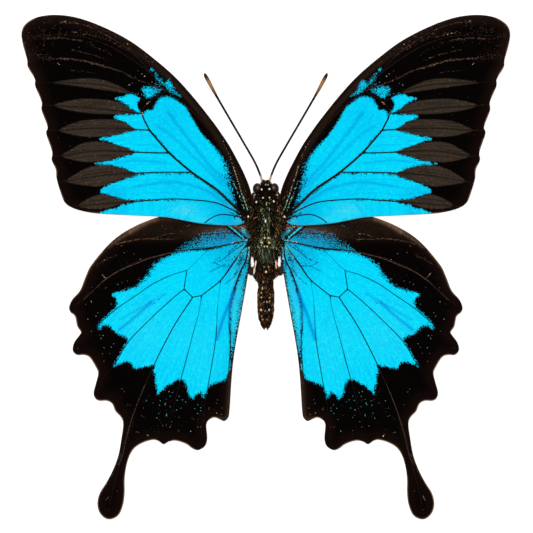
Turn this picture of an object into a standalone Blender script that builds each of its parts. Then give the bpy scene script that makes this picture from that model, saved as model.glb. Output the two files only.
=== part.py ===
"""A dried, spread swallowtail butterfly that lies on its underside.

Head towards +Y, right wings towards +X, upper side towards +Z. The origin is under the middle of the
insect, on the surface that it rests on. Lengths below are in millimetres and become metres where a
mesh is made.
"""
import math

import bmesh
import bpy
from mathutils import Vector
from mathutils.geometry import delaunay_2d_cdt

MM = 0.001                  # one millimetre in metres
GAP = 0.3                   # clearance between pieces that meet
MERGE = 0.0001              # points closer than this are one

# Whole insect: how far the drawn outlines move so that the box is centred on the origin
SHIFT_Y = 0.05

# Wings
WING_THICKNESS = 0.3
EDGE_STEP = 1.5             # spacing of points along a wing's edge
VEIN_STEP = 3.2             # spacing of points along a vein
FIELD_STEP = 4.2            # spacing of points between the veins
VEIN_RISE = 0.25            # how far a vein stands above the membrane
VEIN_WIDTH = 0.9
FIELD_CLEARANCE = 0.4       # share of the field step kept free beside edges and veins
WING_ROOT_X = 3.5
FOREWING_BASE_Z = 5.85
FOREWING_RISE = 0.055       # height gained for each millimetre outwards
FOREWING_CAMBER = 0.0016
FOREWING_ROOT = (4.0, 11.0)
FOREWING_ACROSS = (-0.67, 0.74)     # direction across the forewing, from its rear to its front edge
FOREWING_CREST = -4.0               # the highest line lies this far across from the root
HINDWING_BASE_Z = 5.0
HINDWING_RISE = 0.04
HINDWING_CAMBER = 0.0008
HINDWING_CREST = (22.0, -10.0)
FOLD_WIDTH = 3.6            # the inner edge of a hindwing turns down beside the abdomen
FOLD_DROP = 1.2
INNER_EDGE_START = (3.6, 0.8)
INNER_EDGE_SLOPE = 0.175    # outwards for each millimetre back
FOLD_FRONT = 6.0            # the fold begins here and is full this much further back
FOLD_FRONT_REACH = 5.0
FOLD_REAR = -34.0
FOLD_REAR_REACH = 10.0

# Body; segments are counted round and from pole to pole
THORAX_SEGMENTS = (20, 14)
HEAD_SEGMENTS = (14, 10)
EYE_SEGMENTS = (14, 12)
TUBE_ROUNDING = 2                   # extra points on each quarter of a tube
THORAX_CENTRE = (0.0, 8.3, 3.75)
THORAX_HALF = (3.15, 6.7, 4.05)     # half width, half length, half height
COLLAR_NARROWING = 0.16
MIDDLE_SWELL = 0.06
TABLE_CUTTER = 30.0                 # a block below the table, larger than the thorax
ABDOMEN_FRONT_Y = 1.25
ABDOMEN_FRONT_Z = 4.3
ABDOMEN_TILT = math.radians(5.5)    # tail end lower than the waist
# Distance behind the front and radius there
ABDOMEN_PROFILE = (
    (0.0, 1.0), (0.7, 1.38), (2.2, 1.6), (5.1, 1.58), (6.9, 1.77), (8.6, 1.77), (10.1, 1.74),
    (11.3, 1.64), (12.2, 1.49), (13.0, 1.25), (13.9, 0.97), (14.5, 0.7), (15.1, 0.42))
ABDOMEN_STEP = 0.63                 # spacing of points along the profile
ABDOMEN_SIDES = 18
ABDOMEN_RING_LENGTH = 1.9
RING_PINCH = 0.035                  # share of the radius lost between two rings
CLEFT_WIDTH = 0.5                   # between the tips of the claspers
CLEFT_DEPTH = 1.0
CLEFT_HEIGHT = 10.0                 # taller than the abdomen, so it parts the claspers right through
HEAD_CENTRE = (0.0, 16.8, 4.5)
HEAD_HALF = (1.75, 1.5, 1.75)
EYE_CENTRE = (1.88, 17.16, 4.65)
EYE_HALF = (1.02, 1.28, 1.2)
PALP_RADII = (0.22, 0.36, 0.36, 0.29, 0.13)
PALP_ROUTE = (
    (0.5, 18.0, 2.6), (0.52, 18.45, 3.0), (0.55, 18.75, 3.5), (0.58, 18.85, 4.0), (0.6, 18.85, 4.5))
PROBOSCIS_CENTRE = (0.0, 17.2, 1.45)
PROBOSCIS_RADIUS = 0.8
PROBOSCIS_TURNS = 1.75
PROBOSCIS_WIRE = 0.15               # its own radius
PROBOSCIS_START = math.radians(100)
PROBOSCIS_TIGHTENING = 0.62         # share of the coil's radius lost by its inner end
PROBOSCIS_POINTS = 22

# Antennae: a thin shaft that ends in a club
ANTENNA_ROUTE = (
    ((0.85, 18.95, 5.3), 0.23), ((1.3, 20.4, 5.5), 0.21), ((2.45, 23.05, 5.75), 0.21),
    ((4.7, 27.0, 6.1), 0.21), ((7.8, 32.3, 6.6), 0.21), ((10.3, 36.6, 7.0), 0.23),
    ((11.6, 38.9, 7.2), 0.36), ((12.6, 40.8, 7.35), 0.44), ((13.3, 42.1, 7.45), 0.36),
    ((13.5, 42.6, 7.5), 0.12))

# Outline of the right forewing, clockwise from its root along the front edge
FOREWING_EDGE = (
    (3.4, 13.2), (3.5, 16.3), (5.1, 20.0), (8.4, 26.4), (12.0, 32.4), (15.9, 37.3), (20.0, 41.8),
    (24.6, 45.8), (29.7, 49.6), (35.4, 52.6), (41.1, 54.7), (46.0, 55.4), (50.2, 54.9), (52.8, 53.4),
    (53.7, 51.5), (53.4, 48.8), (52.5, 45.6), (52.3, 43.9), (50.8, 41.3), (50.7, 39.7), (49.3, 36.3),
    (49.3, 34.4), (48.0, 30.8), (48.3, 29.3), (47.0, 25.3), (47.1, 23.5), (46.2, 21.4), (46.0, 19.3),
    (45.0, 15.9), (44.1, 14.0), (42.2, 12.8), (39.2, 12.0), (35.8, 11.6), (29.7, 11.3), (22.1, 10.9),
    (17.6, 10.1), (14.2, 9.5), (10.7, 9.2), (7.0, 9.1), (4.6, 9.6), (3.6, 10.8))

FOREWING_VEINS = (
    ((5.3, 15.3), (7.9, 23.5), (12.8, 30.6), (22.0, 38.6), (27.3, 45.0), (33.9, 50.3), (44.9, 54.1)),
    ((22.0, 38.6), (28.0, 41.0), (36.1, 44.4), (42.7, 45.7), (51.5, 45.5)),
    ((22.0, 38.6), (25.8, 36.2), (27.2, 33.7), (25.6, 30.0)),
    ((4.8, 11.2), (11.0, 17.1), (16.3, 20.8), (21.2, 25.0), (25.6, 30.0)),
    ((25.8, 36.2), (29.7, 38.3), (38.3, 40.2), (50.0, 40.8)),
    ((27.2, 33.7), (37.4, 34.8), (48.4, 35.8)),
    ((25.6, 30.0), (37.0, 30.5), (47.6, 30.0)),
    ((21.2, 25.0), (36.8, 25.5), (46.4, 24.4)),
    ((16.3, 20.8), (26.7, 20.7), (35.0, 20.2), (45.3, 18.6)),
    ((4.8, 11.2), (11.5, 14.2), (17.4, 14.8), (26.7, 14.5), (43.0, 13.6)))

# Outline of the right hindwing, from its root down the inner edge, round the tail and back
HINDWING_EDGE = (
    (3.6, 0.8), (5.1, -8.6), (6.8, -18.1), (7.5, -24.2), (8.0, -31.8), (8.4, -33.4), (9.2, -34.0),
    (10.2, -33.6), (11.3, -33.2), (12.5, -33.7), (13.1, -34.8), (12.9, -37.8), (13.4, -39.5),
    (14.9, -40.4), (16.2, -40.0), (17.6, -39.0), (19.8, -38.3), (21.4, -38.5), (22.5, -39.1),
    (23.6, -38.4), (24.8, -38.1), (27.0, -38.7), (28.9, -39.9), (30.1, -41.8), (30.8, -44.3),
    (31.1, -46.9), (31.1, -49.6), (31.4, -52.2), (32.3, -54.5), (33.7, -55.5), (35.2, -55.5),
    (36.6, -54.2), (37.1, -52.2), (36.6, -49.9), (35.0, -47.3), (33.7, -44.8), (32.5, -41.6),
    (31.8, -37.8), (31.4, -34.6), (31.9, -33.1), (33.1, -31.8), (33.8, -30.2), (35.0, -29.5),
    (36.7, -29.5), (37.6, -28.9), (37.9, -27.6), (37.3, -25.3), (36.9, -23.4), (37.5, -21.9),
    (38.8, -19.9), (40.1, -19.4), (41.6, -19.4), (42.5, -18.4), (42.2, -16.7), (40.9, -14.9),
    (40.7, -14.3), (41.5, -13.1), (42.0, -10.9), (43.0, -10.0), (43.3, -8.9), (42.6, -7.2),
    (40.9, -5.2), (39.6, -2.0), (38.4, 0.4), (35.0, 4.5), (32.0, 7.1), (28.9, 8.9), (25.9, 10.2),
    (22.5, 11.3), (17.5, 12.3), (12.5, 12.1), (8.2, 11.3), (5.6, 10.8), (4.1, 9.8), (3.5, 8.4))

HINDWING_VEINS = (
    ((4.4, 5.8), (12.3, 4.1), (20.2, 3.3), (27.9, 1.3), (35.0, -2.7), (41.0, -7.7)),
    ((4.4, 5.8), (14.1, 6.3), (25.1, 6.0), (34.0, 4.6)),
    ((12.3, 4.1), (17.4, -0.7), (24.9, -3.8), (32.8, -9.2), (40.5, -16.6)),
    ((17.4, -0.7), (18.0, -4.9), (16.1, -6.7), (14.1, -6.3)),
    ((4.4, 5.2), (7.5, 0.4), (9.9, -2.9), (14.1, -6.3)),
    ((18.0, -4.9), (25.1, -11.2), (32.8, -20.7), (36.2, -26.0)),
    ((16.1, -6.7), (20.2, -13.0), (25.1, -22.7), (29.5, -33.2), (31.9, -42.3), (34.4, -51.5)),
    ((14.1, -6.3), (16.1, -15.0), (19.1, -26.0), (22.3, -37.6)),
    ((9.9, -2.9), (11.0, -15.6), (13.0, -27.7), (14.6, -38.6)),
    ((4.6, 4.4), (6.0, -2.0), (8.1, -12.3), (8.6, -31.5)))

# Routes of the right legs, folded against the body: thigh, knee, shin and foot, with the tube's radii
LEG_ROUTES = {
    "leg_fore": (
        ((2.6, 12.6, 1.1), 0.36), ((3.1, 14.0, 0.85), 0.4), ((3.0, 15.6, 0.5), 0.28),
        ((2.3, 16.4, 0.32), 0.24), ((1.7, 15.6, 0.24), 0.2), ((1.6, 13.9, 0.2), 0.17),
        ((1.8, 12.4, 0.17), 0.14)),
    "leg_mid": (
        ((3.0, 9.6, 1.1), 0.4), ((3.9, 8.6, 0.85), 0.44), ((4.9, 7.2, 0.5), 0.3),
        ((5.0, 6.2, 0.34), 0.25), ((4.2, 6.3, 0.26), 0.2), ((3.2, 7.4, 0.22), 0.18),
        ((2.5, 8.4, 0.18), 0.15)),
    "leg_hind": (
        ((2.75, 4.3, 1.3), 0.4), ((2.55, 2.6, 1.8), 0.46), ((2.5, 0.8, 2.1), 0.46),
        ((2.65, -0.8, 2.1), 0.48), ((3.15, -1.45, 1.85), 0.5), ((3.65, -0.7, 1.5), 0.46),
        ((3.7, 1.2, 1.1), 0.36), ((3.5, 3.0, 0.6), 0.28), ((3.0, 4.2, 0.27), 0.22),
        ((2.4, 3.6, 0.22), 0.18), ((2.0, 2.4, 0.18), 0.14))}

# Plain colours, roughness and metallic value of each kind of surface
FINISHES = {
    "wing_blue": ((0.0, 0.55, 0.9, 1.0), 0.45, 0.1),
    "fur_dark": ((0.05, 0.045, 0.035, 1.0), 0.8, 0.0),
    "shell_dark": ((0.06, 0.04, 0.03, 1.0), 0.45, 0.0),
    "shell_brown": ((0.16, 0.1, 0.06, 1.0), 0.5, 0.0),
    "eye_dark": ((0.05, 0.025, 0.02, 1.0), 0.2, 0.0)}


def clear_scene():
    for item in list(bpy.data.objects):
        bpy.data.objects.remove(item, do_unlink=True)


def new_collection(name):
    group = bpy.data.collections.new(name)
    bpy.context.scene.collection.children.link(group)
    return group


def finish_for(name, kind):
    """The named surface finish as a material of its own."""
    colour, roughness, metallic = FINISHES[kind]
    material = bpy.data.materials.new(name + "_finish")
    material.use_nodes = True
    shader = material.node_tree.nodes["Principled BSDF"]
    shader.inputs["Base Color"].default_value = colour
    shader.inputs["Roughness"].default_value = roughness
    shader.inputs["Metallic"].default_value = metallic
    return material


def add_piece(name, mesh, kind, group):
    piece = bpy.data.objects.new(name, mesh)
    mesh.materials.append(finish_for(name, kind))
    group.objects.link(piece)
    return piece


def mesh_from(bm, name, smooth_angle=math.radians(50)):
    """Turn millimetres into metres and write the mesh, smooth except at sharp edges."""
    bmesh.ops.scale(bm, vec=(MM, MM, MM), verts=bm.verts)
    bmesh.ops.recalc_face_normals(bm, faces=bm.faces)
    mesh = bpy.data.meshes.new(name)
    bm.to_mesh(mesh)
    bm.free()
    mesh.shade_smooth()
    mesh.set_sharp_from_angle(angle=smooth_angle)
    return mesh


def add_cutter(name, bm, group):
    cutter = bpy.data.objects.new(name, mesh_from(bm, name))
    cutter.hide_render = True
    cutter.display_type = 'WIRE'
    group.objects.link(cutter)
    return cutter


def cut(piece, cutter):
    boolean = piece.modifiers.new("cut_" + cutter.name, 'BOOLEAN')
    boolean.operation = 'DIFFERENCE'
    boolean.solver = 'EXACT'
    boolean.object = cutter


def smooth_line(points, step, closed=False):
    """Points about step apart on a smooth curve through the given points."""
    points = [Vector(p) for p in points]
    count = len(points)
    spans = count if closed else count - 1
    line = []
    for i in range(spans):
        a = points[i - 1] if closed or i > 0 else 2 * points[0] - points[1]
        b = points[i]
        c = points[(i + 1) % count]
        d = points[(i + 2) % count] if closed or i + 2 < count else 2 * c - b
        pieces = max(1, round((c - b).length / step))
        for k in range(pieces):
            t = k / pieces
            line.append(0.5 * (2 * b + (c - a) * t + (2 * a - 5 * b + 4 * c - d) * t ** 2
                               + (3 * b - a - 3 * c + d) * t ** 3))
    if not closed:
        line.append(points[-1])
    return line


def distance_to_line(point, line, closed=False):
    """Shortest distance from a point to a run of straight stretches."""
    ends = line[1:] + (line[:1] if closed else [])
    best = math.inf
    for a, b in zip(line, ends):
        along = b - a
        t = max(0.0, min(1.0, (point - a).dot(along) / max(along.length_squared, 1e-9)))
        best = min(best, (a + along * t - point).length)
    return best


def is_inside(point, loop):
    inside = False
    for a, b in zip(loop, loop[1:] + loop[:1]):
        if (a.y > point.y) != (b.y > point.y):
            if point.x < a.x + (b.x - a.x) * (point.y - a.y) / (b.y - a.y):
                inside = not inside
    return inside


def forewing_height(x, y):
    """The forewing rises outwards, and its front and rear edges droop from a line along its middle."""
    across = FOREWING_ACROSS[0] * (x - FOREWING_ROOT[0]) + FOREWING_ACROSS[1] * (y - FOREWING_ROOT[1])
    camber = FOREWING_CAMBER * (across - FOREWING_CREST) ** 2
    return FOREWING_BASE_Z + FOREWING_RISE * (x - WING_ROOT_X) - camber


def hindwing_height(x, y):
    """The hindwing is a shallow dome whose inner edge turns down beside the abdomen."""
    dome = HINDWING_CAMBER * ((x - HINDWING_CREST[0]) ** 2 + (y - HINDWING_CREST[1]) ** 2)
    inner_edge = INNER_EDGE_START[0] + INNER_EDGE_SLOPE * max(0.0, INNER_EDGE_START[1] - y)
    near = max(0.0, 1.0 - (x - inner_edge) / FOLD_WIDTH)
    behind_root = max(0.0, min(1.0, (FOLD_FRONT - y) / FOLD_FRONT_REACH))
    ahead_of_tip = max(0.0, min(1.0, (y - FOLD_REAR) / FOLD_REAR_REACH))
    fold = FOLD_DROP * near ** 2 * behind_root * ahead_of_tip
    return HINDWING_BASE_Z + HINDWING_RISE * (x - WING_ROOT_X) - dome - fold


def wing_mesh(name, edge, veins, height, side):
    """One membrane: its edge, its veins and a loose grid between them, joined by triangles."""
    rim = smooth_line(edge, EDGE_STEP, closed=True)
    lines = [smooth_line(vein, VEIN_STEP) for vein in veins]
    points = list(rim)
    links = []
    for line in lines:
        links += [(len(points) + k, len(points) + k + 1) for k in range(len(line) - 1)]
        points += line
    row_step = FIELD_STEP * math.sqrt(3) / 2
    low_x, high_x = min(p.x for p in rim), max(p.x for p in rim)
    low_y, high_y = min(p.y for p in rim), max(p.y for p in rim)
    for row in range(int((high_y - low_y) / row_step) + 1):
        for column in range(int((high_x - low_x) / FIELD_STEP) + 1):
            spot = Vector((low_x + (column + 0.5 * (row % 2)) * FIELD_STEP, low_y + row * row_step))
            clear = min([distance_to_line(spot, rim, True)] + [distance_to_line(spot, v) for v in lines])
            if clear > FIELD_CLEARANCE * FIELD_STEP and is_inside(spot, rim):
                points.append(spot)
    verts, _, faces, *_ = delaunay_2d_cdt(points, links, [list(range(len(rim)))], 1, MERGE)
    bm = bmesh.new()
    made = []
    for spot in verts:
        nearest = min(distance_to_line(spot, line) for line in lines)
        rise = VEIN_RISE * max(0.0, 1.0 - nearest / VEIN_WIDTH)
        made.append(bm.verts.new((side * spot.x, spot.y + SHIFT_Y, height(spot.x, spot.y) + rise)))
    for face in faces:
        corners = [made[k] for k in face]
        bm.faces.new(corners if side > 0 else corners[::-1])
    return mesh_from(bm, name)


def add_wing(name, edge, veins, height, side, group):
    wing = add_piece(name, wing_mesh(name, edge, veins, height, side), "wing_blue", group)
    solid = wing.modifiers.new("membrane", 'SOLIDIFY')
    solid.thickness = WING_THICKNESS * MM
    solid.offset = 0.0
    return wing


def egg(centre, half, segments, shape=None):
    """A ball stretched to three half widths, its poles on Y; shape(t) scales each ring, t from -1 to 1."""
    bm = bmesh.new()
    bmesh.ops.create_uvsphere(bm, u_segments=segments[0], v_segments=segments[1], radius=1.0)
    for vert in bm.verts:
        x, z, y = vert.co
        scale = shape(y) if shape else 1.0
        vert.co = (centre[0] + half[0] * x * scale, centre[1] + half[1] * y, centre[2] - half[2] * z * scale)
    return bm


def thorax_shape(t):
    """Narrower in front, where it makes a collar behind the head, and a little fuller in the middle."""
    return 1.0 - COLLAR_NARROWING * max(0.0, t) ** 2 + MIDDLE_SWELL * (1 - t * t)


def add_thorax(group, cutters):
    centre = (THORAX_CENTRE[0], THORAX_CENTRE[1] + SHIFT_Y, THORAX_CENTRE[2])
    bm = egg(centre, THORAX_HALF, THORAX_SEGMENTS, thorax_shape)
    thorax = add_piece("thorax", mesh_from(bm, "thorax"), "fur_dark", group)
    below = bmesh.new()
    bmesh.ops.create_cube(below, size=TABLE_CUTTER)
    bmesh.ops.translate(below, vec=(0.0, THORAX_CENTRE[1], -TABLE_CUTTER / 2), verts=below.verts)
    cut(thorax, add_cutter("table_plane", below, cutters))


def abdomen_outline():
    """Distance behind the front and radius along the abdomen, a little pinched between its rings."""
    outline = []
    for distance, radius in smooth_line(ABDOMEN_PROFILE, ABDOMEN_STEP):
        bulge = math.sin(math.pi * (distance / ABDOMEN_RING_LENGTH % 1.0))
        outline.append((distance, radius * (1.0 - RING_PINCH * (1.0 - bulge))))
    return outline


def add_abdomen(group, cutters):
    """A turned profile along the insect's length; a wedge from behind parts the two claspers."""
    outline = abdomen_outline()
    length = outline[-1][0]
    profile = bmesh.new()
    chain = [profile.verts.new((0.0, 0.0, 0.0))]
    chain += [profile.verts.new((radius * MM, 0.0, -distance * MM)) for distance, radius in outline]
    chain.append(profile.verts.new((0.0, 0.0, -length * MM)))
    for a, b in zip(chain, chain[1:]):
        profile.edges.new((a, b))
    mesh = bpy.data.meshes.new("abdomen")
    profile.to_mesh(mesh)
    profile.free()
    mesh.shade_smooth()
    abdomen = add_piece("abdomen", mesh, "fur_dark", group)
    abdomen.location = (0.0, (ABDOMEN_FRONT_Y + SHIFT_Y) * MM, ABDOMEN_FRONT_Z * MM)
    abdomen.rotation_euler = (ABDOMEN_TILT - math.pi / 2, 0.0, 0.0)
    turn = abdomen.modifiers.new("turn", 'SCREW')
    turn.axis = 'Z'
    turn.steps = ABDOMEN_SIDES
    turn.render_steps = ABDOMEN_SIDES
    turn.use_merge_vertices = True
    turn.merge_threshold = MERGE * MM
    wedge = bmesh.new()
    bmesh.ops.create_cone(wedge, cap_ends=True, segments=4, radius1=1.0, radius2=1.0, depth=CLEFT_HEIGHT)
    tip_y = ABDOMEN_FRONT_Y + SHIFT_Y - length * math.cos(ABDOMEN_TILT)
    bmesh.ops.scale(wedge, vec=(CLEFT_WIDTH, 2 * CLEFT_DEPTH, 1.0), verts=wedge.verts)
    bmesh.ops.translate(wedge, vec=(0.0, tip_y - CLEFT_DEPTH, ABDOMEN_FRONT_Z), verts=wedge.verts)
    cut(abdomen, add_cutter("clasper_cleft", wedge, cutters))


def add_head(group, cutters):
    skull = egg(shifted(HEAD_CENTRE), HEAD_HALF, HEAD_SEGMENTS)
    head = add_piece("head", mesh_from(skull, "head"), "fur_dark", group)
    for side, word in ((-1, "left"), (1, "right")):
        x, y, z = shifted(EYE_CENTRE)
        eye = egg((side * x, y, z), EYE_HALF, EYE_SEGMENTS)
        add_piece("eye_" + word, mesh_from(eye, "eye_" + word), "eye_dark", group)
        socket = egg((side * x, y, z), [half + GAP for half in EYE_HALF], EYE_SEGMENTS)
        cut(head, add_cutter("eye_socket_" + word, socket, cutters))


def shifted(point):
    return (point[0], point[1] + SHIFT_Y, point[2])


def add_tube(name, points, radii, kind, group):
    """A round tube with closed ends along the points, its radius set at each point."""
    curve = bpy.data.curves.new(name + "_curve", 'CURVE')
    curve.dimensions = '3D'
    curve.bevel_depth = MM
    curve.bevel_resolution = TUBE_ROUNDING
    curve.use_fill_caps = True
    spline = curve.splines.new('POLY')
    spline.points.add(len(points) - 1)
    for target, point, radius in zip(spline.points, points, radii):
        target.co = (point[0] * MM, (point[1] + SHIFT_Y) * MM, point[2] * MM, 1.0)
        target.radius = radius
    tube = bpy.data.objects.new(name, curve)
    curve.materials.append(finish_for(name, kind))
    group.objects.link(tube)
    return tube


def add_antennae(group):
    for side, word in ((-1, "left"), (1, "right")):
        points = [(side * x, y, z) for (x, y, z), _ in ANTENNA_ROUTE]
        add_tube("antenna_" + word, points, [radius for _, radius in ANTENNA_ROUTE], "shell_brown", group)


def add_mouthparts(group):
    for side, word in ((-1, "left"), (1, "right")):
        points = [(side * x, y, z) for x, y, z in PALP_ROUTE]
        add_tube("palp_" + word, points, PALP_RADII, "fur_dark", group)
    points = []
    for k in range(PROBOSCIS_POINTS):
        t = k / (PROBOSCIS_POINTS - 1)
        angle = PROBOSCIS_START - 2 * math.pi * PROBOSCIS_TURNS * t
        radius = PROBOSCIS_RADIUS * (1 - PROBOSCIS_TIGHTENING * t)
        points.append((0.0, PROBOSCIS_CENTRE[1] + radius * math.cos(angle),
                       PROBOSCIS_CENTRE[2] + radius * math.sin(angle)))
    add_tube("proboscis", points, [PROBOSCIS_WIRE] * PROBOSCIS_POINTS, "shell_brown", group)


def add_legs(group):
    for name, route in LEG_ROUTES.items():
        for side, word in ((-1, "left"), (1, "right")):
            points = [(side * x, y, z) for (x, y, z), _ in route]
            add_tube(name + "_" + word, points, [radius for _, radius in route], "shell_dark", group)


def add_wings(group):
    for side, word in ((-1, "left"), (1, "right")):
        add_wing("forewing_" + word, FOREWING_EDGE, FOREWING_VEINS, forewing_height, side, group)
        add_wing("hindwing_" + word, HINDWING_EDGE, HINDWING_VEINS, hindwing_height, side, group)


def build():
    clear_scene()
    insect = new_collection("butterfly")
    cutters = new_collection("cutters")
    add_thorax(insect, cutters)
    add_abdomen(insect, cutters)
    add_head(insect, cutters)
    add_mouthparts(insect)
    add_antennae(insect)
    add_legs(insect)
    add_wings(insect)


build()
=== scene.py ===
"""Looks of the spread swallowtail butterfly: fine wings with their markings, hair, scales, eyes and limbs.

Head towards +Y, right wings towards +X. Lengths are in millimetres and become metres where a mesh is
made. Outlines and veins of the right wings are listed points; the left ones mirror them.
"""
import math

import bmesh
import bpy
import numpy as np
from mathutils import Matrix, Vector
from mathutils.geometry import delaunay_2d_cdt


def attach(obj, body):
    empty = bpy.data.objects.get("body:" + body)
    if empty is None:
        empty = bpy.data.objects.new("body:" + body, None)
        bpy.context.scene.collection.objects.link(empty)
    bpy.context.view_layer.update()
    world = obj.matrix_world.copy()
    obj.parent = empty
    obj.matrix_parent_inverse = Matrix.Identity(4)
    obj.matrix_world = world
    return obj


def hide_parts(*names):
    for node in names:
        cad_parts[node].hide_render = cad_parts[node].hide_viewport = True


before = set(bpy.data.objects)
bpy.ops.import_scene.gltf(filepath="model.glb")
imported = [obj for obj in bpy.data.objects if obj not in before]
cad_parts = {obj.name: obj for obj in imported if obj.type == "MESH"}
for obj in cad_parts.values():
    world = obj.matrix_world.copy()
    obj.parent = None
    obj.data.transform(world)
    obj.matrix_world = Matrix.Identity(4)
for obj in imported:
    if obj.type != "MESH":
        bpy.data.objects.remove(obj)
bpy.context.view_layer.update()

MM = 0.001
SHIFT_Y = 0.05              # as in the CAD model, centres the insect's box on the origin
rng = np.random.default_rng(7)

# The photograph's view: straight down, 117.3 mm across at the height of the wings
VIEW_WIDTH = 117.3
VIEW_CENTRE = (0.15, 0.06)
WING_LEVEL = 6.5
LENS = 600.0
SENSOR = 36.0

# The studio, in metres and watts
FLOOR_REACH = 1.2
FLOOR_GREY = 0.3
FLOOR_GLOW = 0.93
SKY_STRENGTH = 0.4
LAMP_SIZE = 0.35
LAMP_POWER = 6.1
LAMP_PLACE = (-0.1, 0.18, 0.95)

# Wings, with the same surfaces as the CAD model
MEMBRANE = 0.11             # thickness with its scales
FOREWING_ROOT = (3.5, 11.0)
FOREWING_BASE_Z = 5.85
FOREWING_RISE = 0.055
FOREWING_CAMBER = 0.0016
HINDWING_ROOT = (3.5, 5.0)
HINDWING_BASE_Z = 5.0
HINDWING_RISE = 0.04
HINDWING_CAMBER = 0.0008
HINDWING_DOME = (22.0, -10.0)
FOLD_WIDTH = 3.6
FOLD_DROP = 1.2
PLEAT_SLOPE = 0.05          # the membrane sinks between the veins
PLEAT_REACH = 2.4
PLEAT_START = 1.5           # this far from the rim it has its full slope
VEIN_SIDES = 6
VEIN_COAT = 0.02            # added to a vein's radius

# The net of points on a wing, and how far its free points stay from the fixed lines
EDGE_STEP = 0.4
FIELD_STEP = 0.42
LOOP_TO_RIM = 0.15
LOOP_TO_VEIN = 0.12
GRID_TO_RIM = 0.5 * FIELD_STEP
GRID_TO_LINE = 0.35 * FIELD_STEP
SOLVER_ROUNDS = 400
SOLVER_ENOUGH = 1e-10
NEARLY_ZERO = 1e-20

FOREWING_EDGE = (
    (3.1, 13.2), (3.05, 15.3), (3.6, 17.6), (4.55, 20.0), (5.6, 22.2), (7.8, 26.3), (9.9, 29.5), (12.0, 32.4),
    (15.9, 37.3), (20.0, 41.8),
    (24.6, 45.8), (29.7, 49.6), (35.4, 52.6), (41.1, 54.7), (46.0, 55.4), (50.2, 54.9), (52.8, 53.4),
    (53.7, 51.5), (53.4, 48.8), (52.5, 45.6), (52.3, 43.9), (50.8, 41.3), (50.7, 39.7), (49.3, 36.3),
    (49.3, 34.4), (48.0, 30.8), (48.3, 29.3), (47.0, 25.3), (47.1, 23.5), (46.2, 21.4), (46.0, 19.3),
    (45.0, 15.9), (44.1, 14.0), (42.2, 12.8), (39.2, 12.0), (35.8, 11.6), (29.7, 11.3), (22.1, 10.9),
    (17.6, 10.1), (14.2, 9.5), (10.7, 9.2), (7.0, 9.1), (4.6, 9.6), (3.6, 10.8))

HINDWING_EDGE = (
    (3.6, 0.8), (5.1, -8.6), (6.8, -18.1), (7.5, -24.2), (8.0, -31.8), (8.4, -33.4), (9.2, -34.0),
    (10.2, -33.6), (11.3, -33.2), (12.5, -33.7), (13.1, -34.8), (12.9, -37.8), (13.4, -39.5),
    (14.9, -40.4), (16.2, -40.0), (17.6, -39.0), (19.8, -38.3), (21.4, -38.5), (22.5, -39.1),
    (23.6, -38.4), (24.8, -38.1), (27.0, -38.7), (28.9, -39.9), (30.1, -41.8), (30.8, -44.3),
    (31.1, -46.9), (31.1, -49.6), (31.4, -52.2), (32.3, -54.5), (33.7, -55.5), (35.2, -55.5),
    (36.6, -54.2), (37.1, -52.2), (36.6, -49.9), (35.0, -47.3), (33.7, -44.8), (32.5, -41.6),
    (31.8, -37.8), (31.4, -34.6), (31.9, -33.1), (33.1, -31.8), (33.8, -30.2), (35.0, -29.5),
    (36.7, -29.5), (37.6, -28.9), (37.9, -27.6), (37.3, -25.3), (36.9, -23.4), (37.5, -21.9),
    (38.8, -19.9), (40.1, -19.4), (41.6, -19.4), (42.5, -18.4), (42.2, -16.7), (40.9, -14.9),
    (40.7, -14.3), (41.5, -13.1), (42.0, -10.9), (43.0, -10.0), (43.3, -8.9), (42.6, -7.2),
    (40.9, -5.2), (39.6, -2.0), (38.4, 0.4), (35.0, 4.5), (32.0, 7.1), (28.9, 8.9), (25.9, 10.2),
    (22.5, 11.3), (17.5, 12.3), (12.5, 12.1), (8.2, 11.3), (5.6, 10.8), (4.1, 9.8), (3.5, 8.4))

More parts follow.
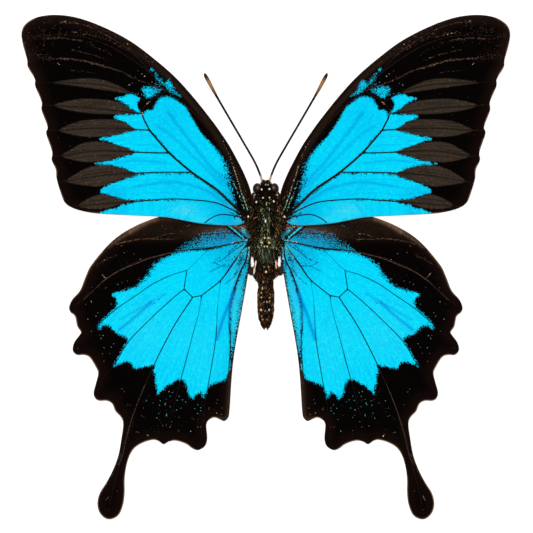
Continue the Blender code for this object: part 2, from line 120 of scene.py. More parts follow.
# Each vein: its order across the wing from the front, its radius at the root and at the tip, its route
FOREWING_VEINS = (
    (0.2, 0.16, 0.08, ((3.6, 13.4), (5.0, 17.4), (8.0, 23.9), (12.2, 30.9), (17.6, 37.5), (24.0, 43.9), (31.5, 49.0))),
    (1.0, 0.2, 0.09, ((3.9, 11.8), (5.3, 15.3), (6.2, 18.2), (7.9, 22.9), (10.1, 26.7), (12.8, 30.6),
                      (15.7, 33.7), (18.7, 36.5), (22.0, 38.6))),
    (0.9, 0.1, 0.05, ((22.0, 38.6), (23.4, 40.2), (25.1, 42.4), (27.3, 45.0), (30.2, 47.9), (33.9, 50.3),
                      (37.2, 52.1), (40.5, 53.2), (44.9, 54.1), (49.1, 54.3))),
    (1.6, 0.1, 0.05, ((25.1, 42.4), (29.6, 45.7), (34.5, 48.6), (40.5, 50.6), (46.2, 51.0), (52.4, 50.6))),
    (2.6, 0.1, 0.06, ((22.0, 38.6), (25.1, 40.0), (28.0, 41.0), (31.7, 43.0), (36.1, 44.4), (39.4, 45.3),
                      (42.7, 45.7), (47.1, 45.8), (52.2, 45.6))),
    (3.3, 0.14, 0.17, ((22.0, 38.6), (25.8, 36.2), (27.2, 33.7), (25.6, 30.0))),
    (5.0, 0.28, 0.2, ((4.0, 10.7), (7.7, 14.0), (11.0, 17.1), (16.3, 20.8), (21.2, 25.0), (25.6, 30.0))),
    (3.5, 0.07, 0.04, ((25.8, 36.2), (29.7, 38.3), (34.0, 39.6), (38.3, 40.2), (46.7, 40.5), (50.4, 40.6))),
    (4.1, 0.11, 0.05, ((27.2, 33.7), (28.9, 33.9), (37.4, 34.8), (46.4, 35.4), (49.1, 35.6))),
    (4.7, 0.13, 0.06, ((25.6, 30.0), (28.4, 30.2), (37.0, 30.5), (45.4, 30.0), (48.0, 29.9))),
    (5.4, 0.13, 0.06, ((21.2, 25.0), (28.4, 25.2), (36.8, 25.5), (44.8, 24.4), (46.9, 24.3))),
    (6.1, 0.13, 0.06, ((16.3, 20.8), (21.8, 20.8), (26.7, 20.7), (35.0, 20.2), (43.8, 18.8), (45.8, 18.5))),
    (6.8, 0.16, 0.06, ((4.0, 10.6), (7.5, 12.6), (11.5, 14.2), (17.4, 14.8), (21.8, 14.9), (26.7, 14.5),
                       (33.9, 14.0), (41.1, 13.4), (43.4, 13.4))),
    (7.6, 0.11, 0.05, ((4.0, 10.5), (7.5, 11.3), (9.9, 11.5), (11.9, 10.8), (13.4, 9.7))))

HINDWING_VEINS = (
    (0.0, 0.1, 0.05, ((4.0, 5.9), (5.1, 6.3), (6.1, 7.1), (7.3, 8.05), (8.8, 9.25), (10.4, 10.6))),
    (0.8, 0.1, 0.06, ((3.9, 5.9), (7.5, 7.4), (14.1, 7.0), (19.6, 6.3), (25.1, 6.0), (29.7, 5.9), (32.6, 5.2),
                      (34.6, 4.3))),
    (1.8, 0.14, 0.06, ((3.7, 5.9), (7.0, 5.2), (12.3, 4.1), (16.3, 3.8), (20.2, 3.3), (24.2, 2.4), (27.9, 1.3),
                       (32.6, -0.9), (35.0, -2.7), (39.4, -6.4), (42.0, -8.6))),
    (2.9, 0.07, 0.04, ((12.3, 4.1), (15.2, 1.3), (17.4, -0.7), (20.7, -1.8), (24.9, -3.8), (28.4, -6.2),
                       (32.8, -9.2), (36.7, -12.6), (40.5, -16.1), (41.5, -17.6))),
    (3.6, 0.09, 0.1, ((17.4, -0.7), (18.0, -4.9), (18.0, -4.9), (16.1, -6.7), (16.1, -6.7), (14.1, -6.3))),
    (4.0, 0.08, 0.04, ((18.0, -4.9), (20.9, -7.3), (25.1, -11.2), (30.1, -16.3), (32.8, -20.7), (33.9, -22.1),
                       (35.7, -24.4), (37.0, -27.4))),
    (5.2, 0.12, 0.06, ((16.1, -6.7), (20.2, -13.0), (24.0, -20.3), (25.1, -22.7), (27.3, -27.7), (29.5, -33.2),
                      (31.2, -38.7), (31.9, -42.3), (33.3, -47.6), (34.4, -52.5))),
    (6.3, 0.22, 0.1, ((3.8, 5.4), (7.5, 0.4), (9.9, -2.9), (14.1, -6.3))),
    (6.1, 0.08, 0.04, ((14.1, -6.3), (14.8, -10.2), (16.1, -15.0), (18.0, -22.2), (19.1, -26.0), (20.2, -30.2),
                       (21.3, -33.9), (22.4, -38.5))),
    (7.2, 0.08, 0.04, ((9.9, -2.9), (10.6, -8.6), (11.0, -15.6), (12.1, -22.7), (13.0, -27.7), (13.7, -32.1),
                       (14.4, -39.0))),
    (8.6, 0.19, 0.05, ((3.8, 5.2), (4.4, 1.5), (6.0, -2.0), (7.7, -7.9), (8.1, -12.3), (7.8, -17.0), (8.2, -23.2),
                      (8.7, -32.6))))

# Blue panels of the forewing, from the cell down to the rear edge
FOREWING_BLUE = (
    ((22.4, 37.4), (23.5, 36.9), (24.0, 36.1), (24.4, 35.3), (24.8, 34.5), (26.1, 34.4), (26.8, 33.5),
     (26.5, 32.0), (25.6, 30.3), (23.5, 28.1), (21.2, 25.3), (16.5, 21.0), (11.3, 17.5), (8.9, 15.4),
     (5.6, 12.7), (5.35, 14.2), (6.0, 16.5), (7.4, 20.0), (9.3, 23.5), (11.3, 26.2), (13.4, 28.4),
     (14.8, 30.2), (16.4, 32.8), (17.6, 34.9), (18.9, 36.0), (20.1, 36.8), (21.1, 37.4)),
    ((23.1, 39.0), (23.8, 39.0), (24.4, 38.9), (24.5, 39.5), (25.1, 39.3), (25.8, 39.8), (26.1, 39.4),
     (26.4, 38.8), (26.8, 39.6), (27.2, 39.3), (27.1, 38.6), (26.6, 38.3), (26.9, 37.9), (26.4, 37.8),
     (26.2, 37.2), (25.5, 37.3), (25.2, 37.9), (24.7, 37.8), (24.1, 38.2), (23.6, 38.6)),
    ((27.7, 37.1), (28.6, 37.7), (30.0, 37.9), (31.2, 37.5), (33.0, 37.1), (32.1, 36.5), (31.0, 36.0),
     (29.3, 34.7), (28.3, 34.1), (27.7, 34.1), (28.2, 35.2), (28.3, 36.2)),
    ((25.7, 30.3), (27.2, 33.5), (27.9, 33.6), (30.1, 33.4), (33.0, 33.3), (33.1, 32.7), (31.6, 32.2),
     (30.1, 31.3), (28.4, 30.2), (26.9, 30.1), (25.9, 30.2)),
    ((21.6, 25.3), (23.5, 27.9), (25.6, 29.8), (28.2, 30.0), (32.3, 29.0), (36.3, 28.2), (34.8, 27.6),
     (30.9, 26.3), (29.4, 25.7), (27.7, 25.3), (24.0, 25.1)),
    ((16.7, 20.8), (19.1, 23.0), (21.4, 24.8), (24.0, 24.9), (27.9, 25.1), (30.1, 24.5), (35.0, 23.1),
     (37.6, 22.7), (33.8, 22.4), (31.4, 21.8), (29.7, 21.2), (27.9, 20.7), (21.6, 20.6)),
    ((5.0, 11.1), (6.4, 12.7), (8.9, 14.9), (11.6, 17.0), (16.5, 20.3), (19.1, 20.4), (26.5, 20.4),
     (30.9, 19.2), (34.3, 18.0), (35.6, 17.4), (36.3, 16.6), (35.0, 16.0), (32.1, 15.2), (29.7, 14.8),
     (22.3, 14.8), (17.9, 14.7), (14.7, 14.3), (12.3, 14.0), (10.1, 13.1), (7.9, 12.0), (6.2, 11.4)),
    ((6.4, 10.9), (8.1, 11.8), (10.3, 12.9), (12.5, 13.7), (15.0, 14.1), (18.1, 14.4), (22.3, 14.6),
     (27.2, 14.4), (31.4, 13.5), (33.5, 12.7), (36.0, 12.1), (35.5, 11.2), (27.3, 10.5), (20.7, 9.6),
     (14.1, 8.7), (7.5, 8.5), (4.9, 9.8)),
    ((18.7, 37.5), (20.0, 38.6), (20.4, 39.6), (21.0, 40.6), (21.6, 40.9), (22.1, 40.3), (21.8, 39.3),
     (21.0, 38.6), (20.0, 38.1)),
    ((22.7, 40.1), (23.3, 41.5), (24.2, 42.5), (24.4, 42.5), (23.9, 41.3), (23.2, 40.3)),
    ((24.8, 43.2), (25.2, 43.7), (25.4, 43.6), (25.0, 43.0)))

# Brown lens-shaped bands of scent scales, each along a vein
FOREWING_LENSES = (
    ((29.7, 38.2), (34.6, 40.7), (38.8, 41.4), (43.0, 41.1), (46.7, 40.5), (44.1, 40.1), (40.3, 39.6),
     (34.6, 38.8)),
    ((28.9, 33.9), (32.0, 36.0), (35.4, 36.7), (40.3, 36.9), (44.1, 36.3), (46.4, 35.4), (43.0, 34.4),
     (37.3, 33.7), (31.6, 33.6)),
    ((28.4, 30.3), (32.0, 32.0), (35.8, 32.4), (40.3, 32.1), (43.3, 31.2), (45.4, 30.0), (43.7, 29.4),
     (41.1, 28.8), (37.3, 28.6), (32.7, 29.1)),
    ((28.4, 25.2), (33.5, 26.9), (37.3, 27.5), (40.3, 27.1), (43.0, 25.7), (44.8, 24.4), (41.8, 23.4),
     (38.4, 23.0), (35.4, 23.3), (31.6, 24.4)),
    ((26.7, 20.7), (31.6, 21.7), (35.8, 22.4), (39.2, 21.7), (41.8, 20.4), (43.8, 18.8), (41.1, 18.1),
     (37.3, 17.7), (35.4, 18.0), (31.6, 19.3)),
    ((26.7, 14.5), (32.0, 14.9), (35.8, 15.9), (38.8, 15.1), (41.1, 13.4), (38.4, 12.8), (35.4, 12.9),
     (31.6, 13.8)))

HINDWING_BLUE = (
    ((3.8, 5.0), (7.0, 4.9), (12.3, 3.7), (16.3, 3.5), (19.9, 2.8), (21.3, 2.3), (22.9, 1.5), (24.3, 0.4),
     (25.4, -1.0), (26.0, -2.1), (27.1, -3.2), (28.2, -4.3), (30.1, -5.1), (32.0, -5.5), (33.7, -6.2),
     (32.8, -7.2), (32.7, -8.2), (33.1, -9.0), (34.5, -10.4), (35.9, -11.7), (36.7, -12.9), (36.7, -13.6),
     (35.9, -12.9), (35.0, -12.9), (34.1, -13.3), (33.4, -14.0), (32.3, -14.9), (30.9, -15.3), (30.4, -15.6),
     (30.4, -16.4), (31.2, -17.8), (32.3, -19.7), (33.1, -21.1), (33.4, -21.8), (32.8, -21.5), (31.7, -21.2),
     (30.4, -20.8), (29.5, -21.4), (29.0, -22.2), (27.9, -22.3), (26.5, -21.9), (25.1, -21.7), (24.4, -21.6),
     (24.6, -22.7), (24.4, -23.8), (24.2, -24.9), (24.2, -26.0), (23.8, -26.9), (23.8, -28.0), (23.3, -27.4),
     (22.4, -26.9), (21.8, -26.1), (21.0, -25.8), (19.9, -25.0), (18.8, -24.8), (18.1, -25.0), (17.4, -26.0),
     (17.2, -27.1), (16.9, -28.1), (16.5, -28.8), (16.1, -29.1), (15.5, -28.3), (15.0, -27.8), (14.3, -27.5),
     (13.9, -28.2), (13.6, -28.9), (13.2, -27.7), (12.6, -26.3), (11.4, -25.6), (10.0, -25.2), (9.0, -24.7),
     (8.4, -23.6), (8.0, -22.5), (7.9, -20.5), (8.0, -17.0), (7.9, -14.2), (8.1, -12.3), (7.7, -7.9),
     (6.0, -2.0), (4.4, 1.5)),
    ((3.1, 6.4), (3.2, 6.9), (3.6, 7.5), (4.4, 8.1), (5.3, 8.5), (5.6, 8.25), (5.0, 7.55), (4.2, 6.65),
     (3.5, 6.0)),
    ((3.6, 4.2), (3.8, 1.4), (4.35, -2.0), (5.4, -8.6), (6.3, -14.0), (7.0, -18.5), (7.5, -21.8),
     (7.75, -18.6), (7.8, -15.2), (7.8, -11.8), (7.6, -9.3), (7.3, -7.0), (6.6, -4.6), (5.5, -1.4),
     (4.5, 2.0), (4.0, 4.2)))

# Where a hindwing vein stays blue instead of black: a route and how much of its dark is lost
HINDWING_FAINT = (
    (((12.6, 3.8), (15.2, 1.3), (17.2, -0.5)), 0.8), (((18.4, -0.9), (21.0, -2.0)), 0.4),
    (((10.2, -4.0), (10.5, -8.0)), 0.95), (((10.5, -8.0), (10.8, -12.5)), 0.55),
    (((14.3, -7.6), (15.4, -12.5)), 0.65), (((15.4, -12.5), (17.0, -18.5)), 0.35),
    (((7.1, -6.0), (8.1, -12.3)), 0.6))


def smooth_line(points, step, closed=False):
    """Points about step apart on a smooth curve through the given points; a point given twice is a corner."""
    points = [np.array(p, float) for p in points]
    count = len(points)
    spans = count if closed else count - 1
    line = []
    for i in range(spans):
        a = points[i - 1] if closed or i > 0 else 2 * points[0] - points[1]
        b = points[i]
        c = points[(i + 1) % count]
        d = points[(i + 2) % count] if closed or i + 2 < count else 2 * c - b
        pieces = max(1, round(float(np.linalg.norm(c - b)) / step))
        for k in range(pieces):
            t = k / pieces
            line.append(0.5 * (2 * b + (c - a) * t + (2 * a - 5 * b + 4 * c - d) * t ** 2
                               + (3 * b - a - 3 * c + d) * t ** 3))
    if not closed:
        line.append(points[-1])
    line = np.array(line)
    apart = np.linalg.norm(np.diff(line, axis=0), axis=1) > 1e-6
    return line[np.concatenate(([True], apart))]


def distance_to_line(spots, line, closed=False):
    """Shortest distance of each spot to a run of straight stretches."""
    starts = line if closed else line[:-1]
    ends = np.roll(line, -1, axis=0) if closed else line[1:]
    best = np.full(len(spots), np.inf)
    for a, b in zip(starts, ends):
        along = b - a
        t = np.clip((spots - a) @ along / max(along @ along, 1e-12), 0, 1)
        best = np.minimum(best, np.hypot(*(spots - a - t[:, None] * along).T))
    return best


def inside(spots, loop):
    """Which spots lie inside a closed loop."""
    hit = np.zeros(len(spots), bool)
    for a, b in zip(loop, np.roll(loop, -1, axis=0)):
        if a[1] != b[1]:
            crosses = (a[1] > spots[:, 1]) != (b[1] > spots[:, 1])
            x = a[0] + (b[0] - a[0]) * (spots[:, 1] - a[1]) / (b[1] - a[1])
            hit ^= crosses & (spots[:, 0] < x)
    return hit


def depth_in(spots, loops):
    """Distance into the nearest of several loops: positive inside, negative outside."""
    best = np.full(len(spots), -np.inf)
    for loop in loops:
        gap = distance_to_line(spots, loop, closed=True)
        best = np.maximum(best, np.where(inside(spots, loop), gap, -gap))
    return best


def forewing_height(x, y):
    across = 0.74 * (y - 11.0) - 0.67 * (x - 4.0)
    return FOREWING_BASE_Z + FOREWING_RISE * (x - FOREWING_ROOT[0]) - FOREWING_CAMBER * (across + 4.0) ** 2


def hindwing_height(x, y):
    dome = HINDWING_CAMBER * ((x - HINDWING_DOME[0]) ** 2 + (y - HINDWING_DOME[1]) ** 2)
    inner_edge = 3.6 + 0.175 * np.maximum(0.0, 0.8 - y)
    near = np.maximum(0.0, 1.0 - (x - inner_edge) / FOLD_WIDTH)
    behind_root = np.clip((6.0 - y) / 5.0, 0, 1)
    ahead_of_tip = np.clip((y + 34.0) / 10.0, 0, 1)
    return (HINDWING_BASE_Z + HINDWING_RISE * (x - HINDWING_ROOT[0]) - dome
            - FOLD_DROP * near ** 2 * behind_root * ahead_of_tip)


def soften(value, low, high):
    """0 below low, 1 above high, smooth between."""
    t = np.clip((value - low) / (high - low), 0, 1)
    return t * t * (3 - 2 * t)


def unit(vectors):
    return vectors / np.linalg.norm(vectors, axis=-1, keepdims=True)


def screen(colours):
    """Rows of screen colours as linear light."""
    c = np.asarray(colours, float) / 255
    return np.where(c <= 0.04045, c / 12.92, ((c + 0.055) / 1.055) ** 2.4)


def spread_between(count, links, fixed, known):
    """Smooth values over a net of points: known where fixed, the mean of their neighbours elsewhere."""
    a, b = links[:, 0], links[:, 1]
    degree = np.bincount(np.concatenate((a, b)), minlength=count).astype(float)

    def net(value):
        total = np.bincount(a, value[b], count) + np.bincount(b, value[a], count)
        return degree * value - total

    free = ~fixed
    value = np.where(fixed, known, known[fixed].mean())
    rest = np.where(free, -net(value), 0.0)
    move = rest / np.maximum(degree, 1)
    step = move.copy()
    size = rest @ move
    for _ in range(SOLVER_ROUNDS):
        pushed = np.where(free, net(step), 0.0)
        share = size / max(step @ pushed, NEARLY_ZERO)
        value = value + share * step
        rest = rest - share * pushed
        move = rest / np.maximum(degree, 1)
        grown = rest @ move
        if grown < SOLVER_ENOUGH:
            break
        step = move + grown / size * step
        size = grown
    return value


class Wing:
    """A right wing's net of points with what the markings need at each of them."""

    def __init__(self, edge, veins, blue, lenses, height):
        self.rim = smooth_line(edge, EDGE_STEP, closed=True)
        self.vein_lines = [smooth_line(route, FIELD_STEP) for _, _, _, route in veins]
        self.vein_sizes = [(root, tip) for _, root, tip, _ in veins]
        self.blue = [smooth_line(loop, EDGE_STEP, closed=True) for loop in blue]
        self.lenses = [smooth_line(loop, EDGE_STEP, closed=True) for loop in lenses]
        self.height = height
        spots = [self.rim]
        links = []
        count = len(self.rim)
        for line in self.vein_lines:
            links += [(count + k, count + k + 1) for k in range(len(line) - 1)]
            spots.append(line)
            count += len(line)
        for loop in self.lenses + self.blue:
            kept = inside(loop, self.rim) & (distance_to_line(loop, self.rim, True) > LOOP_TO_RIM)
            near_vein = np.min([distance_to_line(loop, v) for v in self.vein_lines], axis=0)
            kept &= near_vein > LOOP_TO_VEIN
            spots.append(loop[kept])
            count += int(kept.sum())
        fixed_spots = np.concatenate(spots)
        low, high = self.rim.min(0), self.rim.max(0)
        row_step = FIELD_STEP * math.sqrt(3) / 2
        rows = np.arange(low[1], high[1], row_step)
        columns = np.arange(low[0], high[0], FIELD_STEP)
        grid = np.array([(x + 0.5 * FIELD_STEP * (k % 2), y) for k, y in enumerate(rows) for x in columns])
        grid = grid[inside(grid, self.rim)]
        grid = grid[distance_to_line(grid, self.rim, True) > GRID_TO_RIM]
        for line in self.vein_lines:
            grid = grid[distance_to_line(grid, line) > GRID_TO_LINE]
        for loop in self.lenses + self.blue:
            grid = grid[distance_to_line(grid, loop, True) > GRID_TO_LINE]
        everything = [Vector(p) for p in np.concatenate((fixed_spots, grid))]
        made, _, faces, *_ = delaunay_2d_cdt(everything, links, [list(range(len(self.rim)))], 1, 1e-5)
        self.spots = np.array([tuple(p) for p in made])
        self.faces = np.array([tuple(f) for f in faces])
        vein_gaps = self.gaps(self.spots)
        self.vein_gap = vein_gaps.min(0)
        self.edge_gap = distance_to_line(self.spots, self.rim, closed=True)
        self.order = self.orders(np.array([order for order, *_ in veins])[vein_gaps.argmin(0)])
        self.blue_depth = depth_in(self.spots, self.blue)
        self.band_depth = depth_in(self.spots, self.lenses) if self.lenses else np.full(len(self.spots), -9.0)

    def gaps(self, spots):
        """Distance of each spot to each vein."""
        return np.array([distance_to_line(spots, line) for line in self.vein_lines])

    def orders(self, nearest_order):
        """A smooth count across the wing that is constant along each vein; streaks follow its lines."""
        sides = np.concatenate((self.faces[:, :2], self.faces[:, 1:], self.faces[:, ::2]))
        sides = np.unique(np.sort(sides, axis=1), axis=0)
        return spread_between(len(self.spots), sides, self.vein_gap < 0.02, nearest_order)

    def relief(self, spots):
        """Height of the middle of the membrane: the wing's own curve, with valleys between the veins."""
        edge_gap = distance_to_line(spots, self.rim, closed=True)
        sink = PLEAT_SLOPE * np.minimum(self.gaps(spots).min(0), PLEAT_REACH)
        sink *= soften(edge_gap, 0.0, PLEAT_START)
        return self.height(spots[:, 0], spots[:, 1]) - sink

    def top(self, spots):
        """Height of the upper side, veins included."""
        over_vein = [radius * np.exp(-(gap / (1.3 * radius)) ** 2)
                     for gap, (radius, _) in zip(self.gaps(spots), self.vein_sizes)]
        return self.relief(spots) + np.maximum(MEMBRANE / 2, np.max(over_vein, axis=0))


def tube_round(line, radii, sides):
    """Rings of points round a line, with closed ends, as (points, faces)."""
    ahead = np.gradient(line, axis=0)
    ahead /= np.linalg.norm(ahead, axis=1)[:, None]
    across = np.cross(ahead[0], (0.3, 0.2, 1.0))
    frames = []
    for step in ahead:
        across = across - step * (across @ step)
        across = across / np.linalg.norm(across)
        frames.append(across)
    frames = np.array(frames)
    up = np.cross(frames, ahead)
    angles = 2 * math.pi * np.arange(sides) / sides
    points = np.stack([line + radii[:, None] * (math.cos(t) * frames + math.sin(t) * up) for t in angles], axis=1)
    faces = []
    for ring in range(len(line) - 1):
        for k in range(sides):
            a, b = ring * sides + k, ring * sides + (k + 1) % sides
            faces.append((b, a, a + sides, b + sides))
    faces.append(tuple(range(sides)))
    faces.append(tuple(range(len(line) * sides - sides, len(line) * sides))[::-1])
    return points.reshape(-1, 3), faces


def quad_corners(spots, long, wide):
    """The corners of flat quads in order round their middles, from half their sides."""
    return np.stack((spots - long - wide, spots + long - wide, spots + long + wide, spots - long + wide), axis=1)


def quad_faces(count):
    return [(i, i + 1, i + 2, i + 3) for i in range(0, 4 * count, 4)]


def mesh_object(name, points, faces, materials, face_slots=None, layers=None):
    """A mesh object from points in millimetres, with float values at its points."""
    mesh = bpy.data.meshes.new(name)
    mesh.from_pydata([tuple(p) for p in np.asarray(points) * MM], [], [tuple(int(i) for i in f) for f in faces])
    for material in materials:
        mesh.materials.append(material)
    if face_slots is not None:
        mesh.polygons.foreach_set("material_index", np.asarray(face_slots, np.int32))
    for layer, values in (layers or {}).items():
        values = np.asarray(values, np.float32)
        if values.ndim == 1:
            mesh.attributes.new(layer, 'FLOAT', 'POINT').data.foreach_set("value", values)
        else:
            colours = np.column_stack((values[:, :3], np.ones(len(values)))).astype(np.float32)
            mesh.attributes.new(layer, 'FLOAT_COLOR', 'POINT').data.foreach_set("color", colours.ravel())
    mesh.shade_smooth()
    mesh.validate()
    mesh.update()
    item = bpy.data.objects.new(name, mesh)
    bpy.context.scene.collection.objects.link(item)
    return item


def finished(item, slot, *nodes):
    """Rides on the body and stands for its nodes; slot is not used."""
    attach(item, "root")
    if nodes:
        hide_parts(*nodes)
    return item


def grey(level):
    return (level, level, level, 1.0)


def srgb(*colour):
    """A colour as a screen shows it, 0 to 255, as linear light."""
    return (*screen(colour).tolist(), 1.0)


class Paint:
    """One procedural material, built node by node."""

    def __init__(self, name, roughness, specular):
        self.material = bpy.data.materials.new(name)
        self.material.use_nodes = True
        self.tree = self.material.node_tree
        self.shader = self.tree.nodes["Principled BSDF"]
        self.shader.inputs["Roughness"].default_value = roughness
        self.shader.inputs["Specular IOR Level"].default_value = specular

    def node(self, kind, *values, out=0, **settings):
        made = self.tree.nodes.new(kind)
        for key, value in settings.items():
            setattr(made, key, value)
        for socket, value in zip(made.inputs, values):
            if value is not None:
                self.put(socket, value)
        return made.outputs[out]

    def put(self, socket, value):
        if isinstance(value, bpy.types.NodeSocket):
            self.tree.links.new(value, socket)
        else:
            socket.default_value = value

    def layer(self, name):
        return self.node("ShaderNodeAttribute", attribute_name=name, out="Fac")

    def place(self):
        """Position on the piece, in millimetres."""
        spot = self.node("ShaderNodeTexCoord", out="Object")
        return self.node("ShaderNodeVectorMath", spot, None, None, 1 / MM, operation='SCALE')

    def math(self, operation, *values):
        return self.node("ShaderNodeMath", *values, operation=operation)

    def times(self, first, second):
        return self.math('MULTIPLY', first, second)

    def ramp(self, value, low, high, bottom=0.0, top=1.0):
        return self.node("ShaderNodeMapRange", value, low, high, bottom, top, interpolation_type='SMOOTHSTEP')

    def line(self, value, low, high, bottom, top):
        return self.node("ShaderNodeMapRange", value, low, high, bottom, top)

    def noise(self, spot, scale, detail=2.0, roughness=0.5):
        return self.node("ShaderNodeTexNoise", spot, None, scale, detail, roughness)

    def rays(self, along, order, stretch, count, start, detail, roughness):
        """Streaks that follow the veins: stretch is per millimetre along them, count per step across."""
        spot = self.node("ShaderNodeCombineXYZ", self.times(along, stretch), self.times(order, count), start)
        return self.noise(spot, 1.0, detail, roughness)

    def cells(self, spot, scale):
        """A random value for each small cell."""
        colour = self.node("ShaderNodeTexVoronoi", spot, None, scale, out="Color")
        return self.node("ShaderNodeSeparateColor", colour)

    def mix(self, share, first, second):
        made = self.tree.nodes.new("ShaderNodeMix")
        made.data_type = 'RGBA'
        self.put(made.inputs[0], share)
        self.put(made.inputs[6], first)
        self.put(made.inputs[7], second)
        return made.outputs[2]

    def colour(self, value):
        self.put(self.shader.inputs["Base Color"], value)

    def bump(self, height, strength, distance):
        """distance is in metres."""
        made = self.tree.nodes.new("ShaderNodeBump")
        made.inputs["Strength"].default_value = strength
        made.inputs["Distance"].default_value = distance
        self.tree.links.new(height, made.inputs["Height"])
        self.tree.links.new(made.outputs["Normal"], self.shader.inputs["Normal"])


def gaussian(spots, x, y, wide, tall, turn=0.0):
    """A soft patch of 1 at its middle, as wide and tall as given, turned by an angle."""
    dx, dy = spots[:, 0] - x, spots[:, 1] - y
    c, s = math.cos(turn), math.sin(turn)
    return np.exp(-((c * dx + s * dy) / wide) ** 2 - ((c * dy - s * dx) / tall) ** 2)


def near_line(spots, route, width):
    """1 on a smooth line, fading to either side."""
    return np.exp(-(distance_to_line(spots, smooth_line(route, 0.5)) / width) ** 2)


def patches(spots, *marks):
    """Soft patches added up, each given as its strength and what gaussian takes."""
    return sum(strength * gaussian(spots, *patch) for strength, *patch in marks)


def strokes(spots, *marks):
    """Soft lines added up, each given as its strength, width and route."""
    return sum(strength * near_line(spots, route, width) for strength, width, route in marks)


def forewing_layers(wing, spots):
    """What the forewing's paint reads at each point."""
    x, y = spots.T
    along = np.hypot(x - FOREWING_ROOT[0], y - FOREWING_ROOT[1])
    edge_gap = distance_to_line(spots, wing.rim, closed=True)
    costa, radius = [distance_to_line(spots, line) for line in wing.vein_lines[:2]]
    apex = soften(along, 26, 40) * soften(y, 36, 44)
    light = 0.12 * np.exp(-(costa / 0.45) ** 2) * soften(along, 3, 9) * (1 - 0.8 * soften(along, 30, 48))
    light += 0.05 * apex * np.exp(-edge_gap / 1.0)
    haze = 4.6 * np.exp(-radius / 1.8) * soften(-along, -20, -8)
    haze += patches(spots, (0.5, 24.5, 39.0, 3.0, 2.5), (0.8, 21.5, 40.8, 2.5, 2.5))
    murk = 0.95 * np.exp(-(radius / 1.25) ** 2) * soften(-along, -20, -7)
    murk += patches(spots, (0.62, 5.4, 14.0, 1.5, 3.6, -0.3), (0.3, 8.0, 18.5, 1.3, 4.5, -0.4),
                    (0.3, 24.6, 38.8, 2.4, 1.6), (0.42, 20.3, 39.0, 1.6, 1.6), (0.55, 23.6, 41.8, 1.3, 1.6))
    pale = patches(spots, (0.9, 17.8, 12.4, 2.8, 1.3, 0.1), (0.6, 13.6, 10.3, 1.8, 0.7),
                   (0.9, 5.4, 10.2, 1.4, 0.8), (0.6, 7.0, 12.4, 2.2, 0.8, 0.5))
    # Painted shade: darker blue along the forewing's folds, where the membrane tilts from the light; the patches after
    # it deepen the blue more broadly
    deep = 0.06 + strokes(
        spots, (0.5, 0.35, ((8.0, 17.5), (13.0, 23.0), (18.5, 30.0), (21.5, 34.0))),
        (0.4, 0.3, ((9.5, 17.8), (15.0, 23.4), (20.5, 28.6), (24.0, 31.0))),
        (0.5, 0.3, ((8.5, 13.8), (14.0, 17.2), (21.0, 18.6), (29.0, 17.6))),
        (0.4, 0.3, ((22.0, 22.8), (28.0, 23.4), (33.0, 22.9))))
    deep += patches(spots, (0.12, 17, 15, 6, 2.5), (0.12, 21.5, 33.5, 5, 5), (0.3, 33.5, 16.3, 3.5, 1.5))
    # Blue that reaches up to the rearmost long vein
    dust = strokes(spots, (1.4, 0.5, ((19.5, 14.5), (14.5, 14.1), (11.9, 13.6), (9.8, 12.7), (8.2, 11.8))))
    return {"along": along, "dust": np.clip(dust, 0, 1), "haze": haze, "murk": murk, "pale": pale, "deep": deep,
            "light": light, "faint": 0 * x}


